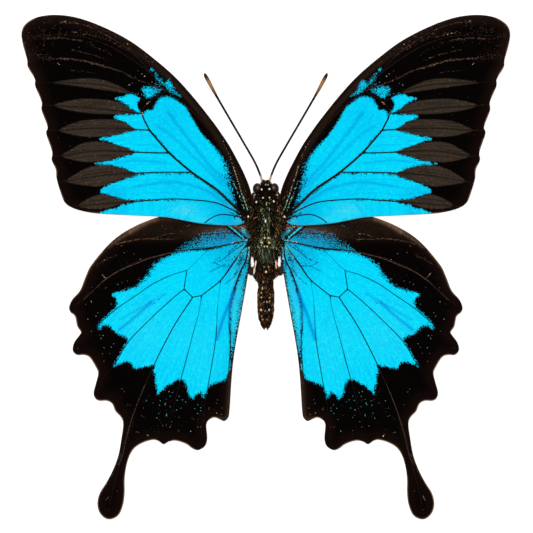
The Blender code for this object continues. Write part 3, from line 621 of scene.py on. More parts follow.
def hindwing_layers(wing, spots):
    """What the hindwing's paint reads at each point."""
    x, y = spots.T
    along = np.hypot(x - HINDWING_ROOT[0], y - HINDWING_ROOT[1])
    edge_gap = distance_to_line(spots, wing.rim, closed=True)
    light = strokes(
        spots, (0.75, 0.42, ((24.2, 10.5), (25.4, 10.1), (26.8, 9.5), (28.3, 8.6), (29.9, 7.7))),
        (0.5, 0.28, ((29.9, 7.6), (31.5, 6.6), (32.9, 5.7), (34.6, 4.4))),
        (0.2, 0.4, ((19.0, 10.6), (22.3, 10.6), (24.4, 10.3))))
    light += 0.05 * soften(y, 4.0, 8.0) * soften(x, 8.0, 16.0) + patches(spots, (0.36, 9.5, 8.2, 5.5, 1.5, -0.1))
    light += 0.3 * np.exp(-edge_gap / 0.25) * soften(x, 18, 26) * soften(y, -9, 0)
    light += 0.28 * np.exp(-(edge_gap / 0.65) ** 2) * soften(-y, 19, 24) * soften(-x, -11, -9.5)
    above = y - 6.3 + 0.15 * x
    share = np.clip(above / np.maximum(0.4, 3.7 - 0.55 * np.maximum(0, x - 14.2)), 0, 1.2)
    dust = np.clip(1.02 - 0.92 * share, 0, 1) * soften(above, -0.5, 0.1)
    dust *= (1 - 0.4 * soften(x, 12.0, 18.0)) * (1 - soften(x, 18.5, 21.5))
    dust *= soften(0.8 * (x - 4.8) - (y - 6.2), 0.1, 0.45) * soften(x, 3.8, 5.2)
    haze = 0.3 + patches(spots, (2.2, 25, -1.0, 5.5, 3.2, -0.7))
    murk = patches(spots, (0.4, 5.4, 1.6, 0.6, 2.2, 0.35), (0.12, 8.5, 1.5, 3.0, 2.5))
    murk += 0.45 * np.exp(-(edge_gap / 0.5) ** 2) * soften(-x, -9.0, -7.8) * soften(-y, 4, 12)
    murk += 0.7 * soften(-y, 17, 22) * soften(-x, -7.9, -7.4)
    murk += strokes(spots, (0.25, 0.3, ((3.9, 1.0), (4.9, -4.5), (6.4, -11.0), (7.5, -18.0))))
    # Painted shade: darker blue along the hindwing's folds, where the membrane tilts from the light
    deep = strokes(
        spots, (1.0, 0.35, ((6.6, -3.5), (7.6, -7.1), (8.4, -8.8), (9.3, -11.2), (10.8, -15.9))),
        (0.8, 0.28, ((25.2, -7.8), (29.0, -11.2), (32.3, -13.9))),
        (0.65, 0.4, ((6.9, -5.1), (7.6, -7.3), (7.8, -9.3), (7.9, -15.0))),
        (0.5, 0.22, ((22.0, -5.9), (27.4, -8.9), (32.0, -11.7))))
    pale = patches(spots, (0.16, 26, -14, 7, 7), (0.12, 14, -18, 5, 8), (0.9, 4.3, 7.3, 1.5, 1.5))
    pale += 0.4 * soften(-x, -8.0, -7.3) * soften(-y, -5, 0)
    faint = np.max([share * near_line(spots, route, 0.5) for route, share in HINDWING_FAINT], axis=0)
    return {"along": along, "dust": dust, "haze": haze, "murk": murk, "pale": pale, "deep": deep,
            "light": light, "faint": np.clip(faint, 0, 1)}


SCALE_RELIEF = 0.00004      # metres, of the roughness that the scales give the light


def wing_paint(name, seam_colour, seam_width):
    """The upper side: blue panels with ragged edges on velvet black, brown bands, dust, fringe and painted shade along
    the folds.
    """
    paint = Paint(name, roughness=0.75, specular=0.012)
    place = paint.place()
    blue, band, vein, edge = [paint.layer(layer) for layer in ("blue", "band", "vein", "edge")]
    along, order = paint.layer("along"), paint.layer("order")
    dust, haze, murk, pale = [paint.layer(layer) for layer in ("dust", "haze", "murk", "pale")]
    deep, light, faint = [paint.layer(layer) for layer in ("deep", "light", "faint")]
    streaks = paint.rays(along, order, 0.8, 16.0, 0.0, 3.0, 0.6)
    long_streaks = paint.rays(along, order, 0.13, 20.0, 7.0, 2.0, 0.6)
    fine_streaks = paint.rays(along, order, 2.4, 48.0, 3.0, 1.0, 0.5)
    clouds = paint.noise(place, 0.35, 2.0, 0.5)
    mottle = paint.noise(place, 1.6, 3.0, 0.6)
    grain = paint.cells(place, 7.5)
    shifted = paint.node("ShaderNodeVectorMath", place, (37.0, 11.0, 5.0))
    other_grain = paint.cells(shifted, 6.0)
    loose = paint.cells(shifted, 4.2)

    # Velvet black, browner towards the rim
    velvet = paint.mix(clouds, srgb(1, 0, 0), srgb(7, 3, 3))
    velvet = paint.mix(paint.ramp(edge, 3.5, 0.3, 0.0, 0.8), velvet, srgb(21, 10, 7))
    velvet = paint.mix(paint.ramp(fine_streaks, 0.55, 0.9, 0.0, 0.25), velvet, srgb(20, 12, 9))
    light_grain = paint.times(light, paint.line(grain, 0.0, 1.0, 0.55, 1.25))
    light_grain = paint.times(light_grain, paint.ramp(fine_streaks, 0.3, 0.7, 0.75, 1.15))
    velvet = paint.mix(light_grain, velvet, srgb(118, 90, 68))

    # Brown bands, felted with scent scales
    wandering = paint.math('MULTIPLY_ADD', fine_streaks, 0.5, paint.math('SUBTRACT', band, 0.25))
    band_on = paint.ramp(wandering, -0.16, 0.14)
    felt = paint.mix(fine_streaks, srgb(30, 23, 18), srgb(60, 50, 41))
    felt = paint.mix(paint.ramp(grain, 0.0, 1.0, 0.0, 0.6), felt, srgb(68, 57, 47))
    felt = paint.mix(paint.ramp(long_streaks, 0.45, 0.7, 0.0, 0.6), felt, srgb(24, 18, 15))
    felt = paint.mix(paint.ramp(other_grain, 0.965, 0.985, 0.0, 0.6), felt, srgb(116, 90, 68))
    felt = paint.mix(paint.ramp(vein, 0.35, 0.1, 0.0, 0.55), felt, srgb(28, 22, 18))
    ground = paint.mix(band_on, velvet, felt)

    # Blue, with ragged edges and loose scales beyond them
    reach = paint.math('ADD', haze, 1.0)
    wobble = paint.times(paint.math('SUBTRACT', streaks, 0.5), 0.95)
    wobble = paint.math('MULTIPLY_ADD', paint.math('SUBTRACT', fine_streaks, 0.5), 0.75, wobble)
    ragged = paint.math('MULTIPLY_ADD', wobble, reach, blue)
    density = paint.ramp(paint.math('DIVIDE', ragged, reach), -0.3, 0.26)
    density = paint.times(density, paint.math('SUBTRACT', 1.0, murk))
    density = paint.math('MAXIMUM', density, dust)
    coarse = paint.ramp(paint.math('MAXIMUM', haze, dust), 0.35, 1.6, 0.0, 0.75)
    blue_grain = paint.math('MULTIPLY_ADD', paint.math('SUBTRACT', loose, grain), coarse, grain)
    blue_on = paint.ramp(paint.math('MULTIPLY_ADD', density, 1.03, paint.times(blue_grain, -1.0)), 0.0, 0.03)
    azure = paint.mix(paint.ramp(streaks, 0.3, 0.7), srgb(0, 214, 252), srgb(6, 232, 255))
    azure = paint.mix(paint.ramp(long_streaks, 0.42, 0.66, 0.0, 0.75), azure, srgb(0, 192, 246))
    azure = paint.mix(paint.ramp(fine_streaks, 0.42, 0.75, 0.0, 0.5), azure, srgb(0, 190, 240))
    azure = paint.mix(paint.ramp(mottle, 0.48, 0.7, 0.0, 0.7), azure, srgb(14, 240, 255))
    azure = paint.mix(paint.ramp(grain, 0.5, 1.0, 0.0, 0.35), azure, srgb(0, 184, 234))
    pale_grain = paint.times(pale, paint.ramp(other_grain, 0.2, 1.0, 0.0, 1.0))
    azure = paint.mix(pale_grain, azure, srgb(98, 220, 228))
    # Painted shade along the folds
    azure = paint.mix(paint.times(deep, 0.85), azure, srgb(0, 118, 206))
    tired = paint.math('MAXIMUM', paint.ramp(blue, 0.1, -0.7), paint.ramp(murk, 0.1, 0.8))
    azure = paint.mix(tired, azure, paint.mix(other_grain, srgb(0, 104, 140), srgb(36, 182, 224)))
    azure = paint.mix(paint.ramp(along, 13.0, 4.0, 0.0, 0.5), azure, srgb(0, 150, 206))
    azure = paint.mix(paint.ramp(along, 4.0, 1.0, 0.0, 0.45), azure, srgb(64, 176, 186))
    surface = paint.mix(blue_on, ground, azure)

    # Dark seams along the veins and the fringe at the rim
    seam = paint.ramp(vein, seam_width, 0.3 * seam_width, 0.0, 0.9)
    seam = paint.times(seam, paint.ramp(blue, -0.5, 0.2))
    seam = paint.times(seam, paint.math('SUBTRACT', 1.0, faint))
    surface = paint.mix(seam, surface, seam_colour)
    fringe = paint.ramp(edge, 0.32, 0.12)
    notch = paint.ramp(vein, 1.2, 2.0)
    fringe_colour = paint.mix(notch, srgb(40, 26, 19), srgb(122, 92, 68))
    fringe = paint.times(fringe, paint.ramp(blue, 0.3, -0.3, 0.25, 0.85))
    surface = paint.mix(fringe, surface, fringe_colour)
    paint.colour(surface)
    rough = paint.math('MULTIPLY_ADD', grain, 0.5, fine_streaks)
    paint.bump(rough, 0.25, SCALE_RELIEF)
    return paint.material


def under_paint(name, hind):
    """The underside: brown, paler between the veins towards the margin, with lunules on the hindwing."""
    paint = Paint(name, roughness=0.7, specular=0.08)
    place = paint.place()
    vein, edge, along, order = [paint.layer(layer) for layer in ("vein", "edge", "along", "order")]
    streaks = paint.rays(along, order, 0.8, 24.0, 0.0, 3.0, 0.6)
    grain = paint.cells(place, 6.5)
    brown = paint.mix(streaks, srgb(38, 25, 18), srgb(66, 47, 34))
    brown = paint.mix(paint.ramp(grain, 0.3, 1.0, 0.0, 0.5), brown, srgb(84, 63, 46))
    between = paint.ramp(vein, 0.25, 0.9)
    if hind:
        outer = paint.times(paint.ramp(edge, 2.2, 3.0), paint.ramp(edge, 6.4, 5.0))
        spot = paint.times(outer, paint.ramp(vein, 0.7, 1.3))
        rust = paint.mix(paint.ramp(edge, 4.6, 5.4), srgb(150, 74, 40), srgb(122, 142, 160))
        brown = paint.mix(spot, brown, paint.mix(grain, rust, srgb(168, 120, 84)))
    else:
        outer = paint.times(paint.ramp(edge, 2.0, 3.2), paint.ramp(edge, 12.0, 7.0))
        outer = paint.times(outer, paint.ramp(along, 24.0, 34.0))
        pale = paint.times(outer, between)
        brown = paint.mix(pale, brown, paint.mix(grain, srgb(112, 92, 72), srgb(150, 128, 102)))
    brown = paint.mix(paint.ramp(vein, 0.22, 0.08, 0.0, 0.8), brown, srgb(26, 16, 11))
    paint.colour(brown)
    paint.bump(paint.math('ADD', grain, streaks), 0.25, SCALE_RELIEF)
    return paint.material


def vein_paint(name, crossing, outside):
    """Veins in one colour where they cross the blue, another outside it, and black where they are stout."""
    paint = Paint(name, roughness=0.6, specular=0.03)
    place = paint.place()
    patchy = paint.noise(place, 2.5)
    stout = paint.ramp(paint.layer("stout"), 0.12, 0.2)
    thin = paint.mix(paint.ramp(paint.layer("blue"), 0.3, -0.3), crossing, outside)
    thin = paint.mix(paint.ramp(patchy, 0.35, 0.65, 0.0, 0.7), thin, srgb(6, 4, 4))
    strong = paint.mix(patchy, srgb(5, 3, 2), srgb(34, 20, 14))
    dark = paint.mix(stout, thin, strong)
    paint.colour(paint.mix(paint.layer("faint"), dark, srgb(0, 170, 222)))
    return paint.material


def tinted_paint(name, roughness, specular, speckle):
    """Colour kept at the points of the mesh, with darker specks over a share of it."""
    paint = Paint(name, roughness, specular)
    tint = paint.node("ShaderNodeAttribute", attribute_name="tint", out="Color")
    grain = paint.noise(paint.place(), 9.0, 2.0, 0.6)
    paint.colour(paint.mix(paint.ramp(grain, 0.35, 0.7, 0.0, speckle), tint, srgb(10, 8, 6)))
    return paint.material


DOT_SHARE = 0.55            # a dot's scales are this share of its given size
BRIGHTEST = 250             # of a screen colour, so that no hair or scale burns out
BRIGHTEST_MARK = 253


class Scales:
    """Single scales that lie on a wing: in rows along a line, as dots, or strewn over a patch."""

    def __init__(self, wing):
        self.wing = wing
        self.spots = []
        self.turns = []
        self.sizes = []
        self.colours = []

    def put(self, spots, turns, size, colours):
        self.spots.append(spots)
        self.turns.append(np.asarray(turns, float))
        self.sizes.append(np.array(size) * rng.uniform(0.75, 1.25, (len(spots), 2)))
        self.colours.append(np.clip(colours, 0, BRIGHTEST))

    def row(self, route, half_width, per_mm, colour, size=(0.34, 0.08), spread=0.4):
        """size is length and width of a scale; they point along the line."""
        line = smooth_line(route, 0.2)
        spans = np.linalg.norm(np.diff(line, axis=0), axis=1)
        count = max(3, int(per_mm * spans.sum()))
        where = rng.uniform(0, len(line) - 1.001, count)
        low = where.astype(int)
        step = line[low + 1] - line[low]
        spots = line[low] + (where - low)[:, None] * step
        ahead = unit(step)
        spots = spots + rng.normal(0, half_width, count)[:, None] * np.column_stack((-ahead[:, 1], ahead[:, 0]))
        turns = np.arctan2(ahead[:, 1], ahead[:, 0]) + rng.normal(0, 0.2, count)
        colours = np.array(colour, float) * np.exp(rng.normal(0, spread, count))[:, None]
        self.put(spots, turns, size, colours)

    def dots(self, places, colour, size):
        """A dot is two scales across each other."""
        size = DOT_SHARE * size
        places = np.array(places, float)
        turns = rng.uniform(0, math.pi, len(places))
        shade = rng.uniform(0.85, 1.1, (len(places), 1)) * np.array(colour, float)
        for quarter in (0.0, 1.2):
            self.put(places + rng.normal(0, 0.04, places.shape), turns + quarter, (size, 0.6 * size), shade)

    def strewn(self, x, y, wide, tall, count, colour, size):
        places = np.column_stack((rng.normal(x, wide, count), rng.normal(y, tall, count)))
        kept = inside(places, self.wing.rim) & (depth_in(places, self.wing.blue) < -0.2)
        places = places[kept]
        shade = np.array(colour, float) * np.exp(rng.normal(0, 0.35, len(places)))[:, None]
        self.put(places, rng.uniform(0, math.pi, len(places)), (size, 0.7 * size), shade)

    def mesh(self):
        """All the scales as (points, faces, linear colours)."""
        spots, turns = np.concatenate(self.spots), np.concatenate(self.turns)
        sizes, colours = np.concatenate(self.sizes), np.concatenate(self.colours)
        kept = inside(spots, self.wing.rim)
        spots, turns, sizes, colours = spots[kept], turns[kept], sizes[kept], colours[kept]
        ahead = np.column_stack((np.cos(turns), np.sin(turns)))
        across = np.column_stack((-ahead[:, 1], ahead[:, 0]))
        flat = quad_corners(spots, sizes[:, :1] / 2 * ahead, sizes[:, 1:] / 2 * across)
        lift = self.wing.top(spots) + rng.uniform(0.03, 0.07, len(spots))
        tilt = rng.uniform(0.0, 0.04, len(spots))
        height = np.stack((lift, lift + tilt, lift + tilt, lift), axis=1)
        points = np.concatenate((flat, height[:, :, None]), axis=2).reshape(-1, 3)
        return points, quad_faces(len(spots)), np.repeat(screen(colours), 4, axis=0)


# Single scales of the wings: rows with route, half width, scales per mm, colour, a scale's size and the spread
# of its shade; dots with places, colour and size; strewn ones with middle, spread, count, colour and size
BEIGE = (196, 178, 150)
FORE_TAN = (128, 96, 74)
HIND_TAN = (140, 114, 90)
TEAL = (70, 160, 180)
# Dark blue of scale rows that paint shade along the hindwing's folds
FOLD_SHADE_BLUE = (0, 112, 180)

FOREWING_ROWS = (
    # Pale blue green row beside the radial vein
    (((3.7, 11.9), (4.25, 13.2), (4.75, 14.6), (5.3, 16.2)), 0.045, 13, (104, 168, 150), (0.22, 0.08), 0.25),
    (((5.2, 15.8), (5.75, 17.6), (6.5, 20.0), (7.2, 22.2)), 0.05, 7, (160, 156, 122), (0.17, 0.08), 0.3),
    (((7.2, 22.2), (8.4, 25.4), (9.6, 27.8)), 0.09, 2.5, (150, 132, 104), (0.16, 0.09)),
    (((4.6, 12.2), (5.3, 14.2), (6.1, 16.2), (7.2, 18.9)), 0.1, 7, (86, 156, 150), (0.2, 0.07)),
    (((3.9, 12.2), (4.3, 14.0), (5.0, 16.6)), 0.3, 5, (92, 74, 50)),
    # Rows along the veins of the tip
    (((30.6, 47.7), (31.9, 48.3), (33.5, 49.3), (34.8, 50.0)), 0.08, 4, (80, 60, 46), (0.22, 0.05)),
    (((34.2, 49.7), (35.2, 50.15), (36.8, 50.5), (39.2, 51.0)), 0.18, 6, (58, 43, 33), (0.2, 0.08)),
    (((39.2, 51.0), (41.2, 51.4), (42.7, 51.7)), 0.1, 4, (80, 58, 44)),
    (((33.8, 46.6), (35.2, 47.5), (36.5, 48.0), (37.8, 48.5), (38.5, 49.2), (39.9, 49.4)), 0.14, 4, (74, 56, 43),
     (0.18, 0.05)),
    (((40.3, 49.7), (42.6, 50.0), (44.6, 50.3), (46.1, 50.3), (48.2, 50.1)), 0.12, 12, (58, 44, 35), (0.3, 0.07)),
    (((48.0, 50.1), (50.0, 50.3), (52.6, 51.0)), 0.5, 9, (52, 34, 25), (0.2, 0.08)),
    (((34.8, 45.3), (36.5, 46.1), (38.9, 46.8), (41.7, 47.5), (42.9, 47.7)), 0.06, 5, (60, 46, 36), (0.3, 0.06)),
    (((29.0, 41.35), (31.7, 42.8), (34.0, 43.6)), 0.05, 7, (58, 43, 34), (0.4, 0.06)),
    (((34.0, 43.6), (36.1, 44.2), (38.9, 45.0), (41.0, 45.45)), 0.11, 11, (66, 50, 39)),
    (((40.6, 45.4), (42.9, 45.65), (44.6, 45.8), (46.5, 45.8)), 0.11, 15, (64, 49, 39), (0.3, 0.07)),
    (((46.5, 45.8), (47.8, 45.9), (49.5, 46.2), (52.2, 46.4)), 0.55, 14, (48, 31, 23), (0.2, 0.08)),
    (((37.3, 42.5), (40.0, 42.95), (43.0, 43.2)), 0.05, 4, (50, 38, 31), (0.28, 0.05)),
    (((22.2, 38.8), (25.0, 40.0), (27.9, 41.0)), 0.04, 6, (60, 44, 36), (0.4, 0.07)),
    (((28.4, 46.2), (30.1, 47.6), (33.5, 49.95), (38.5, 52.7), (42.4, 53.7)), 0.04, 4, (66, 48, 38)),
    (((41.6, 53.6), (43.5, 53.9), (45.5, 53.8)), 0.16, 8, (70, 53, 40), (0.24, 0.11)),
    (((24.5, 44.6), (29.5, 48.7), (35.2, 51.9), (40.0, 53.9)), 0.3, 4, (46, 34, 28)))

FOREWING_STREWN = (
    (48.5, 51.8, 2.6, 1.3, 80, (62, 48, 38), 0.15),
    (39.0, 51.6, 2.4, 0.6, 40, (66, 50, 36), 0.15),
    (50.0, 47.6, 1.6, 1.0, 30, (56, 37, 28), 0.15),
    (44.0, 30.0, 3.0, 9.0, 18, (70, 54, 42), 0.14))

FOREWING_DOTS = (
    (((33.0, 50.6), (47.4, 46.1), (30.0, 48.1), (27.95, 41.0), (28.7, 41.8)), (160, 116, 88), 0.22),
    (((30.4, 49.0), (40.0, 51.1), (26.6, 41.9)), BEIGE, 0.34),
    (((45.45, 44.5), (45.75, 44.75), (27.2, 42.4), (30.0, 40.1), (30.2, 39.9)), BEIGE, 0.24),
    (((28.1, 43.1), (29.4, 40.4), (41.1, 48.3)), (120, 106, 92), 0.22),
    (((23.4, 39.7), (24.0, 40.1), (24.3, 40.25), (25.0, 40.6)), (82, 154, 192), 0.3),
    (((27.3, 37.8), (28.1, 38.1), (29.3, 38.3), (33.1, 37.1)), (76, 160, 196), 0.28),
    (((24.6, 35.0), (24.9, 35.2), (24.1, 40.9)), (62, 96, 104), 0.3))

FOREWING_BEND_ROWS = (
    # Tan scales where the cell's end bends
    (((25.5, 36.35), (26.1, 35.85)), 0.07, 16, FORE_TAN),
    (((27.1, 34.0), (27.2, 33.4)), 0.06, 12, FORE_TAN))

HINDWING_ROWS = (
    # The humeral vein is azure, with a black line behind it and brown hair in front
    (((4.9, 6.25), (5.7, 7.0), (6.9, 8.05), (8.5, 9.25)), 0.07, 40, (46, 190, 224), (0.3, 0.13), 0.2),
    (((5.2, 6.1), (6.1, 6.85), (7.3, 7.8), (8.8, 8.95)), 0.06, 26, (8, 8, 8), (0.4, 0.13)),
    (((3.6, 8.7), (4.8, 9.0), (6.4, 9.25), (8.4, 9.5)), 0.28, 46, (84, 52, 37), (0.75, 0.08), 0.4),
    (((5.4, 8.7), (6.6, 9.1), (7.6, 9.3)), 0.16, 14, (150, 118, 92), (0.6, 0.08)),
    (((3.5, 7.6), (4.4, 8.35), (5.4, 8.75)), 0.08, 16, (150, 124, 98), (0.36, 0.1)),
    (((3.4, 6.2), (3.7, 6.9), (4.5, 7.7), (5.2, 8.2)), 0.16, 10, (100, 196, 204), (0.3, 0.1)),
    # Pale at the roots of the veins
    (((4.1, 5.8), (4.9, 5.85)), 0.1, 22, (70, 170, 186)),
    (((4.6, 5.85), (5.6, 5.65), (6.6, 5.5), (7.4, 5.3)), 0.04, 12, (116, 128, 108), (0.36, 0.09)),
    (((4.2, 4.9), (4.7, 4.0), (5.4, 3.0), (6.2, 1.9)), 0.07, 12, (84, 176, 168)),
    (((3.7, 4.3), (3.75, 3.0), (3.85, 1.6)), 0.1, 12, (104, 178, 180)),
    # Dark rows in the cell: painted shade along its folds
    (((4.9, 5.0), (6.0, 4.3), (7.2, 3.5), (8.3, 2.6)), 0.06, 16, (4, 66, 92), (0.32, 0.06)),
    (((6.4, 4.7), (7.3, 4.0), (8.2, 3.2)), 0.06, 12, (4, 70, 100), (0.3, 0.06)),
    (((8.2, 2.7), (9.4, 1.7), (10.4, 1.1)), 0.06, 12, FOLD_SHADE_BLUE, (0.34, 0.06)),
    (((7.9, 0.2), (9.9, 0.2), (11.4, 1.0)), 0.05, 18, FOLD_SHADE_BLUE, (0.34, 0.07)),
    (((9.9, 0.1), (12.3, -1.1)), 0.05, 12, FOLD_SHADE_BLUE, (0.34, 0.06)),
    (((6.4, -1.6), (7.6, -2.7), (9.2, -4.0)), 0.07, 8, (0, 92, 150), (0.3, 0.06)),
    (((5.0, 2.1), (6.0, 1.0)), 0.07, 14, (6, 34, 48)),
    (((4.2, 1.4), (4.6, -0.4)), 0.08, 10, (6, 60, 80), (0.34, 0.07)),
    (((5.6, -0.2), (7.0, -1.9)), 0.08, 10, (6, 66, 92), (0.34, 0.06)),
    (((11.4, 4.3), (13.5, 3.95), (16.5, 3.7)), 0.07, 22, (14, 9, 7), (0.4, 0.12)),
    # Brown rows on the veins outside the blue
    (((20.0, 6.0), (21.9, 6.1), (24.0, 6.1), (25.8, 6.2)), 0.04, 7, (72, 52, 40), (0.36, 0.08)),
    (((25.8, 6.2), (27.8, 6.1), (29.7, 5.7), (31.7, 5.3), (33.0, 4.9)), 0.06, 9, (68, 48, 37), (0.34, 0.08)),
    (((20.3, 7.3), (22.0, 7.2), (23.2, 6.7), (24.8, 6.3)), 0.05, 5, (68, 51, 40), (0.34, 0.08)),
    (((20.6, 3.15), (23.6, 2.4), (25.8, 1.8), (29.7, 0.25), (31.9, -0.7), (33.7, -1.7), (36.0, -3.3)), 0.025, 12,
     (78, 56, 46), (0.42, 0.08), 0.15),
    (((36.0, -3.3), (37.6, -4.85), (40.1, -7.2)), 0.03, 9, (50, 35, 29), (0.42, 0.08)),
    (((26.6, -26.0), (28.1, -29.6), (29.5, -33.6), (30.6, -37.4), (31.6, -41.6), (32.5, -43.7)), 0.02, 12,
     (66, 50, 42), (0.42, 0.07), 0.15),
    (((31.9, -41.2), (32.9, -43.5), (34.2, -46.7)), 0.04, 8, (50, 37, 30), (0.4, 0.07)),
    (((32.7, 2.6), (34.6, 1.8), (36.6, 0.65), (38.4, -0.3)), 0.14, 6, (48, 33, 26)),
    # Painted shade along a fold
    (((23.0, -6.9), (24.0, -7.6), (25.0, -8.3)), 0.03, 4, FOLD_SHADE_BLUE),
    (((35.1, -2.6), (35.6, -2.2), (36.0, -1.75), (36.4, -1.3)), 0.03, 7, HIND_TAN, (0.18, 0.1)))

HINDWING_DOTS = (
    # Of the front and outer black
    (((27.6, 1.65), (37.4, -10.9), (38.4, -7.7), (35.8, -15.1)), (176, 158, 140), 0.3),
    (((31.1, 3.1), (31.8, 4.6), (29.0, 2.9), (16.8, 9.2), (22.5, -27.0)), (164, 118, 84), 0.26),
    (((30.5, -3.1), (31.7, -3.4), (35.2, -4.6), (38.3, -4.6), (38.4, -14.2), (36.0, -19.1), (34.4, -19.1),
      (35.6, -20.8), (39.6, -8.2), (41.4, -18.0), (36.6, -15.1)), (122, 100, 80), 0.24),
    (((32.5, -3.9), (33.5, -16.9), (34.0, -17.7), (34.0, -8.2), (17.2, 8.9), (37.0, -10.1)), TEAL, 0.26),
    (((36.3, -15.8), (35.6, -17.8), (39.2, -11.5)), (150, 168, 172), 0.28),
    # Of the rear black, from the inner margin to the tail
    (((14.9, -30.4), (14.3, -31.1), (14.3, -31.7), (15.6, -31.2), (15.0, -32.3), (17.7, -29.8), (18.4, -29.3),
      (19.1, -28.5), (19.5, -29.4), (18.7, -31.1), (21.0, -30.8), (21.0, -28.5), (20.6, -27.7), (21.9, -29.2),
      (23.2, -29.5), (23.4, -30.5), (23.6, -32.3)), TEAL, 0.26),
    (((22.1, -30.1), (22.2, -30.35), (21.9, -32.5), (21.85, -32.8), (26.3, -29.5)), (100, 176, 190), 0.26),
    (((24.0, -33.3), (19.7, -31.5), (21.3, -27.5), (16.5, -36.2), (10.9, -32.2)), (168, 176, 170), 0.28),
    (((10.6, -29.3), (10.9, -30.1), (9.6, -31.1), (9.75, -32.5), (12.5, -31.1), (12.6, -31.4), (15.9, -33.6),
      (14.4, -35.3), (15.0, -35.3), (19.1, -36.1), (19.1, -33.2), (20.7, -34.1), (21.1, -35.3), (22.7, -35.0),
      (28.1, -36.5), (28.5, -36.4), (27.0, -31.1), (26.9, -33.0), (27.3, -32.8), (30.4, -30.4), (31.7, -26.9),
      (31.2, -27.5), (24.9, -30.0)), (136, 106, 80), 0.24))

HINDWING_REAR_ROWS = (
    (((25.7, -37.4), (26.1, -37.0)), 0.03, 8, HIND_TAN, (0.3, 0.14)),
    (((34.6, -50.6), (35.1, -51.4)), 0.05, 10, (86, 62, 46), (0.3, 0.1)))

HINDWING_TAIL_DOTS = (
    (((32.7, -49.4), (34.5, -53.6)), (104, 80, 64), 0.24),)

HINDWING_STREWN = (
    (20.0, -31.0, 6.0, 3.6, 90, (34, 48, 52), 0.13),
    (30.0, -31.0, 8.0, 9.0, 60, (44, 33, 28), 0.13),
    (34.0, -3.0, 5.0, 6.0, 80, (46, 36, 30), 0.13),
    (20.0, 8.4, 4.0, 1.4, 110, (48, 36, 29), 0.15))

FOREWING_SCALES = ((Scales.row, FOREWING_ROWS), (Scales.strewn, FOREWING_STREWN), (Scales.dots, FOREWING_DOTS),
                   (Scales.row, FOREWING_BEND_ROWS))
HINDWING_SCALES = ((Scales.row, HINDWING_ROWS), (Scales.dots, HINDWING_DOTS), (Scales.row, HINDWING_REAR_ROWS),
                   (Scales.dots, HINDWING_TAIL_DOTS), (Scales.strewn, HINDWING_STREWN))


def laid_scales(wing, tables):
    """The single scales of a wing as a mesh, laid anew for each side."""
    scales = Scales(wing)
    for lay, table in tables:
        for settings in table:
            lay(scales, *settings)
    return scales.mesh()


def wing_piece(name, wing, layers, scales, side, materials, slot, node):
    """Upper and lower sheets joined round the rim, veins that stand out of both and single scales on top."""
    count = len(wing.spots)
    x, y = side * wing.spots[:, 0], wing.spots[:, 1] + SHIFT_Y
    middle = wing.relief(wing.spots)
    points = [np.column_stack((x, y, middle + MEMBRANE / 2)), np.column_stack((x, y, middle - MEMBRANE / 2))]
    upper = wing.faces
    used = dict.fromkeys(edge for a, b, c in upper.tolist() for edge in ((a, b), (b, c), (c, a)))
    rim = [(b, a, a + count, b + count) for a, b in used if (b, a) not in used]
    faces = upper.tolist() + (upper[:, ::-1] + count).tolist() + rim
    slots = [0] * len(upper) + [1] * (len(upper) + len(rim))
    values = {"blue": wing.blue_depth, "band": wing.band_depth, "vein": wing.vein_gap, "edge": wing.edge_gap,
              "order": wing.order, "stout": np.zeros(count), **layers(wing, wing.spots)}
    values = {key: [value, value] for key, value in values.items()}
    tints = [np.zeros((2 * count, 3))]
    filled = 2 * count

    def add(new_points, new_faces, slot_number, known, tint):
        nonlocal filled, faces, slots
        new_points = new_points * (side, 1, 1) + (0, SHIFT_Y, 0)
        points.append(new_points)
        faces += [tuple(i + filled for i in face) for face in new_faces]
        slots += [slot_number] * len(new_faces)
        filled += len(new_points)
        for key in values:
            values[key].append(known.get(key, np.zeros(len(new_points))))
        tints.append(tint)

    for line, (root, tip) in zip(wing.vein_lines, wing.vein_sizes):
        radii = np.linspace(root, tip, len(line)) + VEIN_COAT
        heights = wing.height(line[:, 0], line[:, 1])
        ring_points, ring_faces = tube_round(np.column_stack((line, heights)), radii, VEIN_SIDES)
        known = {"stout": radii, "blue": depth_in(line, wing.blue), "faint": layers(wing, line)["faint"]}
        known = {key: np.repeat(value, VEIN_SIDES) for key, value in known.items()}
        add(ring_points, ring_faces, 2, known, np.zeros((len(ring_points), 3)))
    scale_points, scale_faces, scale_tints = scales
    add(scale_points, scale_faces, 3, {}, scale_tints)
    if side < 0:
        faces = [face[::-1] for face in faces]
    values = {key: np.concatenate(value) for key, value in values.items()}
    values["tint"] = np.concatenate(tints)
    piece = mesh_object(name, np.concatenate(points), faces, materials, slots, values)
    return finished(piece, slot, node)


def add_wings():
    fore = Wing(FOREWING_EDGE, FOREWING_VEINS, FOREWING_BLUE, FOREWING_LENSES, forewing_height)
    hind = Wing(HINDWING_EDGE, HINDWING_VEINS, HINDWING_BLUE, (), hindwing_height)
    loose = tinted_paint("loose_scales", 0.7, 0.04, 0.0)
    for wing, which, layers, tables in ((fore, "forewing", forewing_layers, FOREWING_SCALES),
                                        (hind, "hindwing", hindwing_layers, HINDWING_SCALES)):
        slot = which + "_scales"
        seam, outside = (srgb(4, 44, 60), srgb(40, 28, 24)) if wing is hind else (srgb(5, 7, 9), srgb(38, 28, 23))
        materials = [wing_paint(slot, seam, 0.16 if wing is hind else 0.2),
                     under_paint(which + "_underside", wing is hind),
                     vein_paint(which + "_veins", seam, outside), loose]
        for side, hand in ((1, "right"), (-1, "left")):
            node = f"{which}_{hand}"
            scales = laid_scales(wing, tables)
            wing_piece(node + "_looks", wing, layers, scales, side, materials, slot, node)


